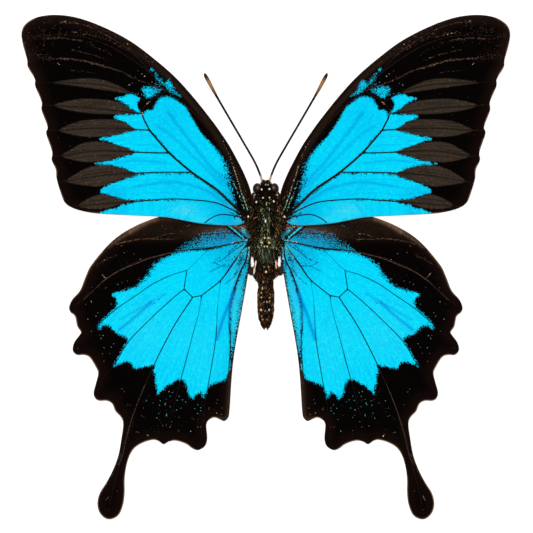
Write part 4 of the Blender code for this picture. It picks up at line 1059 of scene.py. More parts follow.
# Body, with the same forms as the CAD model
THORAX_CENTRE = (0.0, 8.3, 3.75)
THORAX_HALF = (3.15, 6.7, 4.05)
ABDOMEN_FRONT = (0.0, 1.25, 4.3)
ABDOMEN_TILT = math.radians(5.5)
ABDOMEN_PROFILE = (
    (0.0, 1.0), (0.7, 1.38), (2.2, 1.6), (5.1, 1.58), (6.9, 1.77), (8.6, 1.77), (10.1, 1.74),
    (11.3, 1.64), (12.2, 1.49), (13.0, 1.25), (13.9, 0.97), (14.5, 0.7), (15.1, 0.42))
ABDOMEN_LENGTH = ABDOMEN_PROFILE[-1][0]
ABDOMEN_RING_LENGTH = 1.9
RING_PINCH = 0.035
CLEFT_WIDTH = 0.5
CLEFT_DEPTH = 1.0
HEAD_CENTRE = (0.0, 16.8, 4.5)
HEAD_HALF = (1.75, 1.5, 1.75)
EYE_CENTRE = (1.88, 17.16, 4.65)
EYE_HALF = (1.02, 1.28, 1.2)
PALP_RADII = (0.22, 0.36, 0.36, 0.29, 0.13)
PALP_ROUTE = (
    (0.5, 18.0, 2.6), (0.52, 18.45, 3.0), (0.55, 18.75, 3.5), (0.58, 18.85, 4.0), (0.6, 18.85, 4.5))
KNEE_HAIR_END = (3.7, -1.35)        # where the hair of the waist meets a hind leg's knee
KNEE_HAIR_SLOPES = (1.3, 0.85)      # of its rear edge on the left and on the right
KNEE_TUFT_LIMIT = 6.0               # only legs that start behind this have tufted knees
KNEE_TUFT = (3.05, -1.25, 1.9)
PROBOSCIS_CENTRE = (0.0, 17.2, 1.45)
PROBOSCIS_RADIUS = 0.8
PROBOSCIS_TURNS = 1.75
ANTENNA_ROUTE = (
    ((0.85, 18.95, 5.3), 0.23), ((1.3, 20.4, 5.5), 0.21), ((2.45, 23.05, 5.75), 0.21),
    ((4.7, 27.0, 6.1), 0.21), ((7.8, 32.3, 6.6), 0.21), ((10.3, 36.6, 7.0), 0.23),
    ((11.6, 38.9, 7.2), 0.36), ((12.6, 40.8, 7.35), 0.44), ((13.3, 42.1, 7.45), 0.36),
    ((13.5, 42.6, 7.5), 0.12))
LEG_ROUTES = {
    "leg_fore": (
        ((2.6, 12.6, 1.1), 0.36), ((3.1, 14.0, 0.85), 0.4), ((3.0, 15.6, 0.5), 0.28),
        ((2.3, 16.4, 0.32), 0.24), ((1.7, 15.6, 0.24), 0.2), ((1.6, 13.9, 0.2), 0.17), ((1.8, 12.4, 0.17), 0.14)),
    "leg_mid": (
        ((3.0, 9.6, 1.1), 0.4), ((3.9, 8.6, 0.85), 0.44), ((4.9, 7.2, 0.5), 0.3),
        ((5.0, 6.2, 0.34), 0.25), ((4.2, 6.3, 0.26), 0.2), ((3.2, 7.4, 0.22), 0.18), ((2.5, 8.4, 0.18), 0.15)),
    "leg_hind": (
        ((2.7, 4.3, 1.3), 0.38), ((2.35, 2.6, 1.8), 0.38), ((2.2, 0.8, 2.1), 0.38), ((2.45, -0.8, 2.1), 0.44),
        ((3.15, -1.45, 1.85), 0.5), ((3.65, -0.7, 1.5), 0.46), ((3.7, 1.2, 1.1), 0.36), ((3.5, 3.0, 0.6), 0.28),
        ((3.0, 4.2, 0.27), 0.22), ((2.4, 3.6, 0.22), 0.18), ((2.0, 2.4, 0.18), 0.14))}

# How marks are drawn: the shares of their given half width and half length, and scales per square millimetre
MARK_WIDE = 0.72
MARK_TALL = 0.78
MARK_DENSITY = 190
RAISED_WIDE = 0.75
RAISED_TALL = 0.9
RAISED_DENSITY = 200
RAISED_LIFT = 0.1
HEAD_START = 15             # raised marks in front of this are the head's
HAIR_FLOOR = 0.05           # no hair gets lower
COAT_FLOOR = 0.35           # no hair of the thorax's coat is rooted lower
LIMB_HAIR_FLOOR = 0.12      # nor one of a limb
# Painted shade on each hair: darker at its root, deep in the coat, and lighter at its tip
HAIR_PAINTED_SHADE = (0.6, 0.6, 0.9, 0.9, 1.15)    # at the corners of a hair, from its root to its tip

# Small marks of pale and golden scales, and a bright white oval on the thorax: x, y, half width, half length, colour
# as shown on a screen
WHITE = (252, 246, 232)
CREAM = (232, 214, 176)
GOLD = (236, 204, 146)
TAN = (182, 136, 88)
OLIVE = (122, 110, 70)
HEAD_MARKS = (
    (-0.92, 17.0, 0.15, 0.2, WHITE), (0.8, 17.1, 0.2, 0.2, WHITE), (-0.07, 18.05, 0.2, 0.14, (196, 172, 148)),
    (0.46, 18.05, 0.2, 0.14, (196, 172, 148)))
THORAX_MARKS = (
    # The first is the bright white oval in the middle of the thorax
    (-0.07, 10.05, 0.2, 0.36, (255, 255, 253)), (0.15, 13.85, 0.18, 0.42, (150, 164, 128)),
    (-0.92, 14.1, 0.32, 0.12, OLIVE), (0.8, 14.0, 0.28, 0.22, (104, 118, 70)),
    (-0.24, 6.35, 0.2, 0.15, CREAM), (0.57, 6.35, 0.24, 0.15, CREAM), (-0.92, 5.33, 0.34, 0.18, GOLD),
    (0.74, 5.33, 0.32, 0.2, GOLD), (-0.28, 4.5, 0.18, 0.16, GOLD), (0.3, 4.46, 0.18, 0.16, GOLD),
    (-1.5, 4.3, 0.28, 0.2, (104, 136, 120)), (1.4, 4.2, 0.2, 0.2, (84, 108, 90)),
    (-2.65, 10.2, 0.12, 0.24, (186, 182, 142)), (-1.85, 3.05, 0.18, 0.26, CREAM),
    (1.74, 3.3, 0.18, 0.28, (186, 188, 152)), (0.18, 1.95, 0.1, 0.5, (226, 198, 146)))
# Marks that stand on hair, with their height: x, y, z, half width, colour; the white pair over the wing roots is
# painted highlight
RAISED_MARKS = (
    (-2.1, 14.2, 6.75, 0.19, WHITE), (1.74, 14.4, 6.7, 0.19, WHITE), (-0.62, 15.2, 6.55, 0.15, CREAM),
    # The white marks at x -3.9 and 4.12 are painted highlights on the wing roots
    (0.84, 15.2, 6.55, 0.15, CREAM), (-3.9, 11.05, 7.0, 0.2, WHITE), (4.12, 11.0, 7.0, 0.2, WHITE),
    (3.0, 10.2, 6.6, 0.17, (190, 184, 140)), (3.15, 9.4, 6.5, 0.16, (150, 140, 100)),
    (3.55, 11.8, 6.9, 0.13, (176, 144, 104)), (3.2, 13.4, 6.7, 0.12, OLIVE), (-3.3, 9.6, 6.4, 0.15, OLIVE),
    (-2.9, 12.6, 6.7, 0.13, OLIVE), (2.6, 12.3, 6.9, 0.14, TAN), (-3.4, 13.2, 6.6, 0.12, OLIVE))
ABDOMEN_MARKS = (
    (0.04, -0.95, 0.24, 0.26, (248, 222, 168)), (-0.35, 0.12, 0.2, 0.18, (152, 142, 112)),
    (0.62, 0.15, 0.22, 0.18, (156, 138, 110)), (-0.55, -3.2, 0.18, 0.22, TAN),
    (0.37, -3.2, 0.15, 0.2, (104, 88, 66)), (-0.76, -4.6, 0.1, 0.34, CREAM), (-0.98, -5.6, 0.13, 0.18, GOLD),
    (-0.98, -6.6, 0.14, 0.16, GOLD), (0.82, -6.65, 0.2, 0.16, TAN), (1.0, -6.0, 0.13, 0.13, TAN),
    (-0.4, -7.6, 0.14, 0.18, (148, 130, 106)), (0.27, -7.6, 0.13, 0.16, (214, 200, 174)),
    (0.86, -7.5, 0.16, 0.34, TAN), (-1.1, -8.2, 0.14, 0.6, (116, 86, 52)), (-1.05, -9.35, 0.24, 0.28, GOLD),
    (0.77, -9.35, 0.2, 0.28, GOLD), (-0.12, -9.6, 0.18, 0.11, (120, 110, 98)), (-0.9, -10.8, 0.18, 0.2, TAN),
    (-0.72, -11.5, 0.2, 0.2, TAN), (0.32, -11.5, 0.16, 0.16, TAN), (0.7, -10.9, 0.13, 0.16, (110, 84, 54)))


def thorax_shape(t):
    return 1.0 - 0.16 * np.maximum(0.0, t) ** 2 + 0.06 * (1 - t * t)


def egg_points(centre, half, balls, shape=None):
    """Points and outward directions on an egg for directions given on a unit ball."""
    scale = shape(balls[:, 1]) if shape else np.ones(len(balls))
    stretch = np.column_stack((half[0] * scale, np.full(len(balls), half[1]), half[2] * scale))
    points = np.array(centre) + (0.0, SHIFT_Y, 0.0) + stretch * balls
    return points, unit(balls / stretch)


def egg_mesh(centre, half, sides, rings, shape=None):
    """An egg as (points, faces), its poles on the insect's length."""
    balls = [(0.0, 1.0, 0.0)]
    for r in range(1, rings):
        tilt = math.pi * r / rings
        for k in range(sides):
            turn = 2 * math.pi * k / sides
            balls.append((math.sin(tilt) * math.cos(turn), math.cos(tilt), math.sin(tilt) * math.sin(turn)))
    balls.append((0.0, -1.0, 0.0))
    faces = []
    for k in range(sides):
        after = (k + 1) % sides
        faces.append((0, 1 + after, 1 + k))
        for r in range(rings - 2):
            a, b = 1 + r * sides + k, 1 + r * sides + after
            faces.append((a, b, b + sides, a + sides))
        last = 1 + (rings - 2) * sides
        faces.append((len(balls) - 1, last + k, last + after))
    return egg_points(centre, half, np.array(balls), shape)[0], faces


def ball_over(centre, half, x, y, shape=None):
    """The directions on the unit ball whose points of an egg lie at x, y on its upper side."""
    t = (y - centre[1]) / half[1]
    scale = shape(t) if shape else 1.0
    u = (x - centre[0]) / (half[0] * scale)
    up = np.sqrt(np.maximum(0.02, 1 - t * t - u * u))
    return unit(np.column_stack((u, t, up)))


class Pile:
    """A piece built up from a skin and the hairs that stand on it."""

    def __init__(self):
        self.points = []
        self.faces = []
        self.tints = []
        self.filled = 0

    def add(self, points, faces, tint):
        """tint is one screen colour or one linear colour for each point."""
        points = np.asarray(points, float)
        self.points.append(points)
        self.faces += [tuple(i + self.filled for i in face) for face in faces]
        if np.ndim(tint) == 1:
            tint = np.tile(screen(tint), (len(points), 1))
        self.tints.append(tint)
        self.filled += len(points)

    def hairs(self, roots, ahead, length, width, colours, droop=0.1):
        """Flat tapering hairs; length and width may be one value or one for each hair."""
        count = len(roots)
        length = np.broadcast_to(length, count)[:, None]
        width = np.broadcast_to(width, count)[:, None]
        ahead = unit(ahead)
        across = unit(np.cross(ahead, rng.normal(0.0, 0.5, (count, 3)) + (0.0, 0.0, 1.0)))
        middle = roots + 0.5 * length * ahead
        tips = roots + length * (ahead - (0.0, 0.0, droop))
        points = np.stack((roots - 0.5 * width * across, roots + 0.5 * width * across,
                           middle - 0.42 * width * across, middle + 0.42 * width * across, tips), axis=1)
        points[:, :, 2] = np.maximum(points[:, :, 2], HAIR_FLOOR)
        starts = 5 * np.arange(count)
        faces = [face for i in starts.tolist() for face in ((i, i + 1, i + 3, i + 2), (i + 2, i + 3, i + 4))]
        shades = np.repeat(screen(colours), 5, axis=0)
        # Painted shade: darker at the root, lighter at the tip
        shades = shades * np.tile(HAIR_PAINTED_SHADE, count)[:, None]
        self.add(points.reshape(-1, 3), faces, shades)

    def flakes(self, spots, turns, length, width, colours):
        """Small pale scales that lie nearly flat."""
        count = len(spots)
        ahead = unit(np.column_stack((np.cos(turns), np.sin(turns), rng.normal(0, 0.16, count))))
        across = unit(np.column_stack((-np.sin(turns), np.cos(turns), rng.normal(0, 0.16, count))))
        half_long = 0.5 * length * rng.uniform(0.7, 1.3, (count, 1))
        half_wide = 0.5 * width * rng.uniform(0.7, 1.3, (count, 1))
        points = quad_corners(spots, half_long * ahead, half_wide * across)
        self.add(points.reshape(-1, 3), quad_faces(count), np.repeat(screen(colours), 4, axis=0))

    def piece(self, name, paint, slot, *nodes):
        item = mesh_object(name, np.concatenate(self.points), self.faces, [paint], None,
                           {"tint": np.concatenate(self.tints)})
        return finished(item, slot, *nodes)


def varied(colours, spread, flecks, fleck_colour=TAN):
    """Screen colours made unlike from hair to hair, a few of them in the fleck colour."""
    colours = np.array(colours, float)
    colours *= np.exp(rng.normal(0.0, spread, len(colours)))[:, None]
    chosen = rng.random(len(colours)) < flecks
    colours[chosen] = np.array(fleck_colour) * rng.uniform(0.7, 1.15, (int(chosen.sum()), 1))
    return np.clip(colours, 0, BRIGHTEST)


def scattered(count, *limits):
    """Random x, y and z for each hair: each one value for all, or drawn between two limits."""
    return np.column_stack([rng.uniform(*limit, count) if np.ndim(limit) else np.full(count, limit)
                            for limit in limits])


def hair_colours(count, colour, *variety):
    """One screen colour for all hairs, made unlike as varied does."""
    return varied(np.tile(colour, (count, 1)), *variety)


def tuft(pile, middle, wide, tall, colour, per_area):
    """One small mark of pale scales."""
    count = max(9, int(per_area * math.pi * wide * tall))
    turn = rng.uniform(0, 2 * math.pi, count)
    far = np.sqrt(rng.uniform(0, 1, count))
    high = rng.uniform(0, 0.12, count)
    spots = middle + np.column_stack((wide * far * np.cos(turn), tall * far * np.sin(turn), high))
    colours = np.array([colour] * count, float) * rng.uniform(0.86, 1.06, (count, 1))
    turns = rng.normal(math.pi / 2, 0.6, count)
    pile.flakes(spots, turns, 0.22, 0.1, np.clip(colours, 0, BRIGHTEST_MARK))


def marks_on(pile, marks, surface, lift):
    """Marks that lie on the hair over a rounded surface."""
    for x, y, wide, tall, colour in marks:
        roots, _ = surface(np.array((x,)), np.array((y,)))
        tuft(pile, roots[0] + (0.0, 0.0, lift), MARK_WIDE * wide, MARK_TALL * tall, colour, MARK_DENSITY)


def raised_marks(pile, front):
    """The marks that stand on hair, those of the head or those of the thorax."""
    for x, y, z, half, colour in RAISED_MARKS:
        if (y > HEAD_START) == front:
            middle = np.array((x, y + SHIFT_Y, z + RAISED_LIFT))
            tuft(pile, middle, RAISED_WIDE * half, RAISED_TALL * half, colour, RAISED_DENSITY)


def blend(base, *layers):
    """A screen colour for each hair: the base, covered in turn by (share, colour)."""
    colours = np.tile(np.array(base, float), (len(layers[0][0]), 1))
    for share, colour in layers:
        colours = colours * (1 - share[:, None]) + np.array(colour, float) * share[:, None]
    return colours


def thorax_colours(x, y):
    """Screen colours of the thorax's hair: grey green down the middle, dark strips, olive and brown sides."""
    side = np.abs(x)
    dark = soften(side, 0.75, 1.0) * soften(-side, -2.1, -1.8) * soften(y, 6.0, 8.0) * soften(-y, -13.4, -12.4)
    olive = soften(side, 1.7, 2.1) * soften(-side, -3.0, -2.6)
    brown = soften(side, 2.5, 2.8)
    front = soften(y, 12.8, 13.8)
    seam = soften(-np.abs(x - 0.05), -0.3, -0.1) * soften(-y, -8.8, -7.6)
    diamond = soften(-np.hypot(x - 0.02, (y - 5.25) * 1.15), -0.62, -0.45)
    rear = soften(-y, -4.4, -3.4)
    behind = soften(-y, -8.4, -7.0)
    return blend((39, 44, 30), (olive, (35, 30, 17)), (brown, (20, 14, 9)), (0.6 * behind * olive, (20, 15, 9)),
                 (dark, (9, 8, 5)), (front, (24, 17, 11)), (rear * (1 - olive), (31, 38, 27)),
                 (rear * olive, (18, 13, 9)), (seam, (12, 10, 6)), (diamond, (4, 3, 2)))


def over_thorax(x, y):
    """Points and outward directions on the upper side of the thorax."""
    balls = ball_over(THORAX_CENTRE, THORAX_HALF, x, y, thorax_shape)
    return egg_points(THORAX_CENTRE, THORAX_HALF, balls, thorax_shape)


def add_wing_root_hair(pile, turn):
    """Long hair that spreads from the sides over the wing roots, with blue scales where the hindwing begins."""
    count = 2600
    y = np.concatenate((rng.uniform(2.6, 13.6, count // 2), rng.uniform(8.6, 12.0, count // 2)))
    roots, _ = over_thorax(turn * rng.uniform(1.9, 2.85, count), y)
    outward = rng.uniform(0.35, 1.0, count) * (1 - 0.75 * soften(-y, -8.6, -7.4))
    ahead = np.column_stack((turn * outward, -1.0 + 0.6 * outward, rng.uniform(-0.1, 0.2, count)))
    ahead += rng.normal(0, 0.14, ahead.shape)
    long = soften(-np.abs(y - 10.1), -2.1, -1.2)
    length = rng.uniform(0.9, 1.7, count) * (0.62 + 0.8 * long)
    colours = blend((16, 11, 7), (0.5 * long, (28, 20, 12)))
    pile.hairs(roots, ahead, length, rng.uniform(0.06, 0.12, count), varied(colours, 0.75, 0.06, (158, 128, 80)))
    count = 260
    share = rng.uniform(0, 1, count)
    spots = np.column_stack((turn * (2.75 + 1.6 * share), 6.35 + 1.1 * share + SHIFT_Y + rng.normal(0, 0.26, count),
                             5.35 + 0.25 * share + rng.uniform(0, 0.1, count)))
    colours = blend((60, 176, 186), (rng.uniform(0, 1, count), (22, 150, 180)),
                    (rng.uniform(0, 0.7, count), (6, 30, 36)))
    pile.flakes(spots, np.full(count, turn * 0.6), 0.32, 0.12, colours)


def add_tegula(pile, turn):
    """A pad of brown hair on the front wing's root."""
    count = 1000
    along = rng.uniform(0, 1, count)
    roots = np.column_stack((turn * (2.2 + 1.7 * along), 13.9 - 3.2 * along, 6.1 + 0.5 * np.sin(math.pi * along)))
    roots += rng.normal(0, 0.25, roots.shape)
    ahead = scattered(count, 0.5, -1.0, (-0.1, 0.25)) * (turn, 1, 1) + rng.normal(0, 0.16, (count, 3))
    colours = hair_colours(count, (18, 12, 8), 0.6, 0.07, (146, 112, 70))
    pile.hairs(roots, ahead, rng.uniform(0.6, 1.3, count), rng.uniform(0.07, 0.13, count), colours)


def add_collar_side(pile, turn):
    """Hair beside the collar, which fills the corner in front of the wing."""
    count = 1200
    y = rng.uniform(12.3, 15.0, count)
    roots = np.column_stack((turn * rng.uniform(1.7, 2.5, count), y, rng.uniform(4.4, 6.2, count)))
    ahead = scattered(count, (0.5, 1.0), (-1.0, 0.1), (-0.1, 0.2)) * (turn, 1, 1) + rng.normal(0, 0.12, (count, 3))
    reach = rng.uniform(0.8, 1.5, count) * (1 - 0.45 * soften(y, 13.8, 15.0))
    pile.hairs(roots, ahead, reach, rng.uniform(0.08, 0.14, count),
               hair_colours(count, (25, 17, 12), 0.55, 0.05, (124, 92, 60)))


def add_waist_sides(pile, turn):
    """Hair that widens from the waist, and hair that closes the upper part of the gap to the wing."""
    count = 1300
    y = rng.uniform(0.6, 3.6, count)
    roots = np.column_stack((turn * rng.uniform(1.0, 1.9, count), y, rng.uniform(3.4, 4.9, count)))
    ahead = scattered(count, (0.0, 0.32), -1.0, (-0.25, 0.05)) * (turn, 1, 1) + rng.normal(0, 0.08, (count, 3))
    pile.hairs(roots, ahead, rng.uniform(1.1, 2.4, count), rng.uniform(0.08, 0.13, count),
               hair_colours(count, (21, 14, 10), 0.5, 0.04, (120, 92, 66)))
    count = 500
    roots = scattered(count, (2.2, 2.9), (3.0, 5.4), (3.4, 4.4)) * (turn, 1, 1)
    ahead = scattered(count, (0.0, 0.5), -1.0, (-0.1, 0.1)) * (turn, 1, 1)
    pile.hairs(roots, ahead, rng.uniform(0.8, 1.3, count), 0.1,
               hair_colours(count, (24, 16, 11), 0.5, 0.05, (116, 84, 58)))


def add_knee_hair(pile, turn):
    """Brown hair from the waist towards the knees of the hind legs."""
    count = 2200
    roots = scattered(count, (1.2, 2.4), (-3.2, 0.0), (3.0, 4.2)) * (turn, 1, 1)
    ahead = unit(scattered(count, (0.2, 0.9), -0.8, (-0.3, 0.0)) * (turn, 1, 1))
    reach = rng.uniform(0.5, 1.9, count)
    tips = roots + reach[:, None] * ahead
    slope = KNEE_HAIR_SLOPES[0] if turn < 0 else KNEE_HAIR_SLOPES[1]
    kept = tips[:, 1] > KNEE_HAIR_END[1] - slope * (KNEE_HAIR_END[0] - np.abs(tips[:, 0]))
    roots, ahead, reach = roots[kept], ahead[kept], reach[kept]
    pile.hairs(roots, ahead, reach, 0.09, hair_colours(len(roots), (42, 28, 22), 0.5, 0.12, (104, 80, 68)))


def add_cream_stripe(pile, turn):
    """A cream stripe over the hair of the waist, longer and paler on the left."""
    count = 110
    lean, reach, colour = (-0.17, 2.6, (255, 234, 204)) if turn < 0 else (0.1, 1.4, (236, 188, 148))
    share = rng.uniform(0, 1, count)
    spots = np.column_stack((2.18 * turn + lean * reach * share + rng.normal(0, 0.06, count),
                             1.25 - reach * share + rng.normal(0, 0.05, count), rng.uniform(5.0, 5.15, count)))
    pile.flakes(spots, np.full(count, math.atan2(-1.0, lean)), 0.42, 0.09,
                np.clip(hair_colours(count, colour, 0.14, 0.0), 0, BRIGHTEST_MARK))


def add_thorax():
    pile = Pile()
    points, faces = egg_mesh(THORAX_CENTRE, THORAX_HALF, 64, 48, thorax_shape)
    points[:, 2] = np.maximum(points[:, 2], 0.0)
    pile.add(points, faces, (9, 7, 5))

    # A coat over all of it, lying backwards
    count = 9000
    balls = unit(rng.normal(0, 1, (count, 3)))
    balls[:, 2] = np.abs(balls[:, 2]) * np.where(rng.random(count) < 0.8, 1, -1)
    roots, out = egg_points(THORAX_CENTRE, THORAX_HALF, balls, thorax_shape)
    keep = roots[:, 2] > COAT_FLOOR
    roots, out = roots[keep], out[keep]
    x, y, z = roots.T
    side = np.abs(x)
    ahead = 0.42 * out + (0.0, -1.0, 0.0) + rng.normal(0, 0.2, roots.shape)
    ahead[:, 0] += 0.25 * np.sign(x) * soften(side, 1.0, 2.6) * (1 - 0.8 * soften(-y, -8.6, -7.0))
    length = rng.uniform(0.5, 1.05, len(roots))
    length *= (1 + 0.5 * soften(side, 1.5, 2.8)) * (1 - 0.45 * soften(-z, -3, -1))
    colours = varied(thorax_colours(x, y), 0.85, 0.05, (158, 148, 104))
    pile.hairs(roots, ahead, length, rng.uniform(0.06, 0.13, len(roots)), colours)

    for turn in (-1, 1):
        add_wing_root_hair(pile, turn)
        add_tegula(pile, turn)
        add_collar_side(pile, turn)
        add_waist_sides(pile, turn)
        add_knee_hair(pile, turn)
        add_cream_stripe(pile, turn)

    # Hair from the rear of the thorax that covers the waist
    count = 1700
    x = rng.uniform(-2.3, 2.3, count)
    roots, _ = over_thorax(x, rng.uniform(2.3, 4.6, count))
    ahead = np.column_stack((0.1 * x, np.full(count, -1.0), rng.uniform(-0.35, -0.05, count)))
    ahead += rng.normal(0, 0.12, ahead.shape)
    colours = blend((22, 16, 11), (soften(-np.abs(x), -1.5, -0.8), (31, 38, 27)))
    pile.hairs(roots, ahead, rng.uniform(1.2, 2.6, count), rng.uniform(0.07, 0.12, count),
               varied(colours, 0.62, 0.07, (172, 164, 132)))
    marks_on(pile, THORAX_MARKS, over_thorax, 0.7)
    raised_marks(pile, False)
    return pile


def abdomen_radius(distance):
    """Radius at a distance behind the abdomen's front, pinched between its rings."""
    profile = smooth_line(ABDOMEN_PROFILE, 0.1)
    bulge = np.sin(math.pi * (distance / ABDOMEN_RING_LENGTH % 1.0))
    return np.interp(distance, profile[:, 0], profile[:, 1]) * (1.0 - RING_PINCH * (1.0 - bulge))


def abdomen_points(distance, turn):
    """Points and outward directions on the abdomen, by distance along it and turn round it."""
    distance, turn = np.broadcast_arrays(np.asarray(distance, float), np.asarray(turn, float))
    back = np.array((0.0, -math.cos(ABDOMEN_TILT), -math.sin(ABDOMEN_TILT)))
    up = np.array((0.0, -math.sin(ABDOMEN_TILT), math.cos(ABDOMEN_TILT)))
    out = np.cos(turn)[:, None] * np.array((1.0, 0.0, 0.0)) + np.sin(turn)[:, None] * up
    centre = np.array(ABDOMEN_FRONT) + (0.0, SHIFT_Y, 0.0) + distance[:, None] * back
    return centre + abdomen_radius(distance)[:, None] * out, out


def cleft_abdomen():
    """The abdomen's skin as (points, faces), cut open between its two end claspers."""
    sides, rings = 56, 120
    points, _ = abdomen_points(np.repeat(np.linspace(0, ABDOMEN_LENGTH, rings), sides),
                               np.tile(2 * math.pi * np.arange(sides) / sides, rings))
    faces = []
    for r in range(rings - 1):
        for k in range(sides):
            a, b = r * sides + k, r * sides + (k + 1) % sides
            faces.append((a, b, b + sides, a + sides))
    faces.append(tuple(range(sides))[::-1])
    faces.append(tuple(range((rings - 1) * sides, rings * sides)))
    body = mesh_object("abdomen_body", points, faces, [])
    bm = bmesh.new()
    bmesh.ops.create_cone(bm, cap_ends=True, segments=4, radius1=1.0, radius2=1.0, depth=10.0)
    tip_y = ABDOMEN_FRONT[1] + SHIFT_Y - ABDOMEN_LENGTH * math.cos(ABDOMEN_TILT)
    bmesh.ops.scale(bm, vec=(CLEFT_WIDTH, 2 * CLEFT_DEPTH, 1.0), verts=bm.verts)
    bmesh.ops.translate(bm, vec=(0.0, tip_y - CLEFT_DEPTH, ABDOMEN_FRONT[2]), verts=bm.verts)
    wedge = mesh_object("abdomen_wedge", [v.co for v in bm.verts], [[v.index for v in f.verts] for f in bm.faces], [])
    bm.free()
    cut = body.modifiers.new("cleft", 'BOOLEAN')
    cut.operation = 'DIFFERENCE'
    cut.solver = 'EXACT'
    cut.object = wedge
    solid = body.evaluated_get(bpy.context.evaluated_depsgraph_get()).to_mesh()
    points = np.array([v.co for v in solid.vertices]) / MM
    faces = [tuple(f.vertices) for f in solid.polygons]
    for item in (body, wedge):
        bpy.data.objects.remove(item, do_unlink=True)
    return points, faces


def over_abdomen(x, y):
    """Points and outward directions on the upper side of the abdomen."""
    behind = np.clip((ABDOMEN_FRONT[1] - y) / math.cos(ABDOMEN_TILT), 0.3, ABDOMEN_LENGTH - 0.3)
    return abdomen_points(behind, np.arccos(np.clip(x / abdomen_radius(behind), -0.95, 0.95)))


def add_abdomen():
    pile = Pile()
    pile.add(*cleft_abdomen(), (13, 9, 6))
    count = 9000
    behind = rng.uniform(0.0, 0.965 * ABDOMEN_LENGTH, count)
    turn = np.where(rng.random(count) < 0.72, rng.uniform(-0.15, math.pi + 0.15, count),
                    rng.uniform(math.pi, 2 * math.pi, count))
    roots, out = abdomen_points(behind, turn)
    x = roots[:, 0]
    ahead = 0.2 * out + (0.0, -1.0, 0.0) + rng.normal(0, 0.14, roots.shape)
    side = np.abs(x)
    ring = behind / ABDOMEN_RING_LENGTH % 1.0
    # Painted glint: lighter orange-brown along each side of the abdomen
    stripe = soften(side, 1.1, 1.4) * soften(-side, -1.85, -1.6) * soften(behind, 4.5, 6.8)
    middle = soften(-side, -0.9, -0.4) * soften(behind, 3.0, 4.5)
    colours = blend((26, 17, 11), (0.5 * stripe, (104, 68, 35)), (0.4 * middle, (19, 15, 13)))
    colours *= (0.4 + 0.85 * ring)[:, None]
    front = soften(-behind, -2.1, -0.75)[:, None]
    colours = colours * (1 - front) + np.array((21.0, 16.0, 11.0)) * front
    length = rng.uniform(0.3, 0.7, count) * (1 - 0.45 * soften(behind, 12.8, 15.1))
    pile.hairs(roots, ahead, length, rng.uniform(0.06, 0.11, count), varied(colours, 0.6, 0.07, (156, 104, 58)), 0.0)

    # Pointed tufts either side of the cleft
    count = 160
    for turn in (-1, 1):
        roots = np.array((turn * 0.5, -12.9 + SHIFT_Y, 3.0)) + rng.normal(0, 1, (count, 3)) * (0.09, 0.2, 0.15)
        ahead = np.column_stack((-0.18 * turn + rng.normal(0, 0.06, count), np.full(count, -1.0), np.zeros(count)))
        pile.hairs(roots, ahead, rng.uniform(0.4, 0.95, count), 0.08,
                   hair_colours(count, (30, 18, 11), 0.4, 0.1, (120, 78, 44)), 0.0)
    marks_on(pile, ABDOMEN_MARKS, over_abdomen, 0.3)
    return pile


def over_head(x, y):
    """Points and outward directions on the upper side of the head."""
    return egg_points(HEAD_CENTRE, HEAD_HALF, ball_over(HEAD_CENTRE, HEAD_HALF, x, y))


def add_head():
    pile = Pile()
    points, faces = egg_mesh(HEAD_CENTRE, HEAD_HALF, 48, 32)
    pile.add(points, faces, (9, 6, 5))
    count = 3800
    balls = unit(rng.normal(0, 1, (count, 3)))
    roots, out = egg_points(HEAD_CENTRE, HEAD_HALF, balls)
    eye = np.array(EYE_CENTRE) + (0, SHIFT_Y, 0)
    gap = (np.abs(roots) * (1, 0, 0) + roots * (0, 1, 1) - eye) / (np.array(EYE_HALF) + 0.1)
    keep = np.linalg.norm(gap, axis=1) > 1
    roots, out = roots[keep], out[keep]
    y = roots[:, 1]
    forward = soften(y, 17.2, 18.0)[:, None]
    ahead = 0.75 * out + np.array((0.0, -0.7, 0.0)) * (1 - forward) + np.array((0.0, 0.35, 0.15)) * forward
    ahead += rng.normal(0, 0.22, ahead.shape)
    colours = hair_colours(len(roots), (19, 12, 9), 0.5, 0.06, (92, 60, 40))
    length = rng.uniform(0.35, 0.75, len(roots)) * (1 - 0.35 * forward[:, 0])
    pile.hairs(roots, ahead, length, rng.uniform(0.05, 0.1, len(roots)), colours)

    # Collar between head and thorax
    count = 1600
    turn = rng.uniform(-0.5, math.pi + 0.5, count)
    roots = np.column_stack((2.1 * np.cos(turn), rng.uniform(14.4, 15.9, count), 4.1 + 2.0 * np.sin(turn)))
    ahead = np.column_stack((0.5 * np.cos(turn), rng.uniform(-1.0, 0.1, count), 0.4 * np.sin(turn)))
    ahead += rng.normal(0, 0.2, ahead.shape)
    colours = hair_colours(count, (20, 13, 9), 0.55, 0.08, (104, 72, 46))
    pile.hairs(roots, ahead, rng.uniform(0.5, 1.0, count), rng.uniform(0.06, 0.11, count), colours)
    # Short crests in front, between the antennae
    for middle, wide, front, count in ((-0.6, 0.26, 18.0, 150), (0.0, 0.3, 18.35, 220), (0.6, 0.26, 18.0, 150)):
        roots = np.array((middle, front, 5.1)) + rng.normal(0, 1, (count, 3)) * (wide, 0.14, 0.14)
        ahead = np.array((0.4 * middle, 1.0, 0.15)) + rng.normal(0, 0.3, (count, 3))
        colours = hair_colours(count, (34, 22, 16), 0.45, 0.1, (110, 80, 58))
        pile.hairs(roots, ahead, rng.uniform(0.35, 0.8, count), 0.1, colours)
    # A tan edge behind each eye
    count = 24
    for turn in (-1, 1):
        roots = np.array((turn * 2.3, 16.05, 5.4)) + rng.normal(0, 0.07, (count, 3))
        ahead = np.array((turn * 0.8, -0.7, 0.0)) + rng.normal(0, 0.08, (count, 3))
        pile.hairs(roots, ahead, 0.55, 0.1, hair_colours(count, (196, 142, 100), 0.15, 0.0), 0.0)
    marks_on(pile, HEAD_MARKS, over_head, 0.5)
    raised_marks(pile, True)
    return pile


FACET_RELIEF = 0.00002      # metres


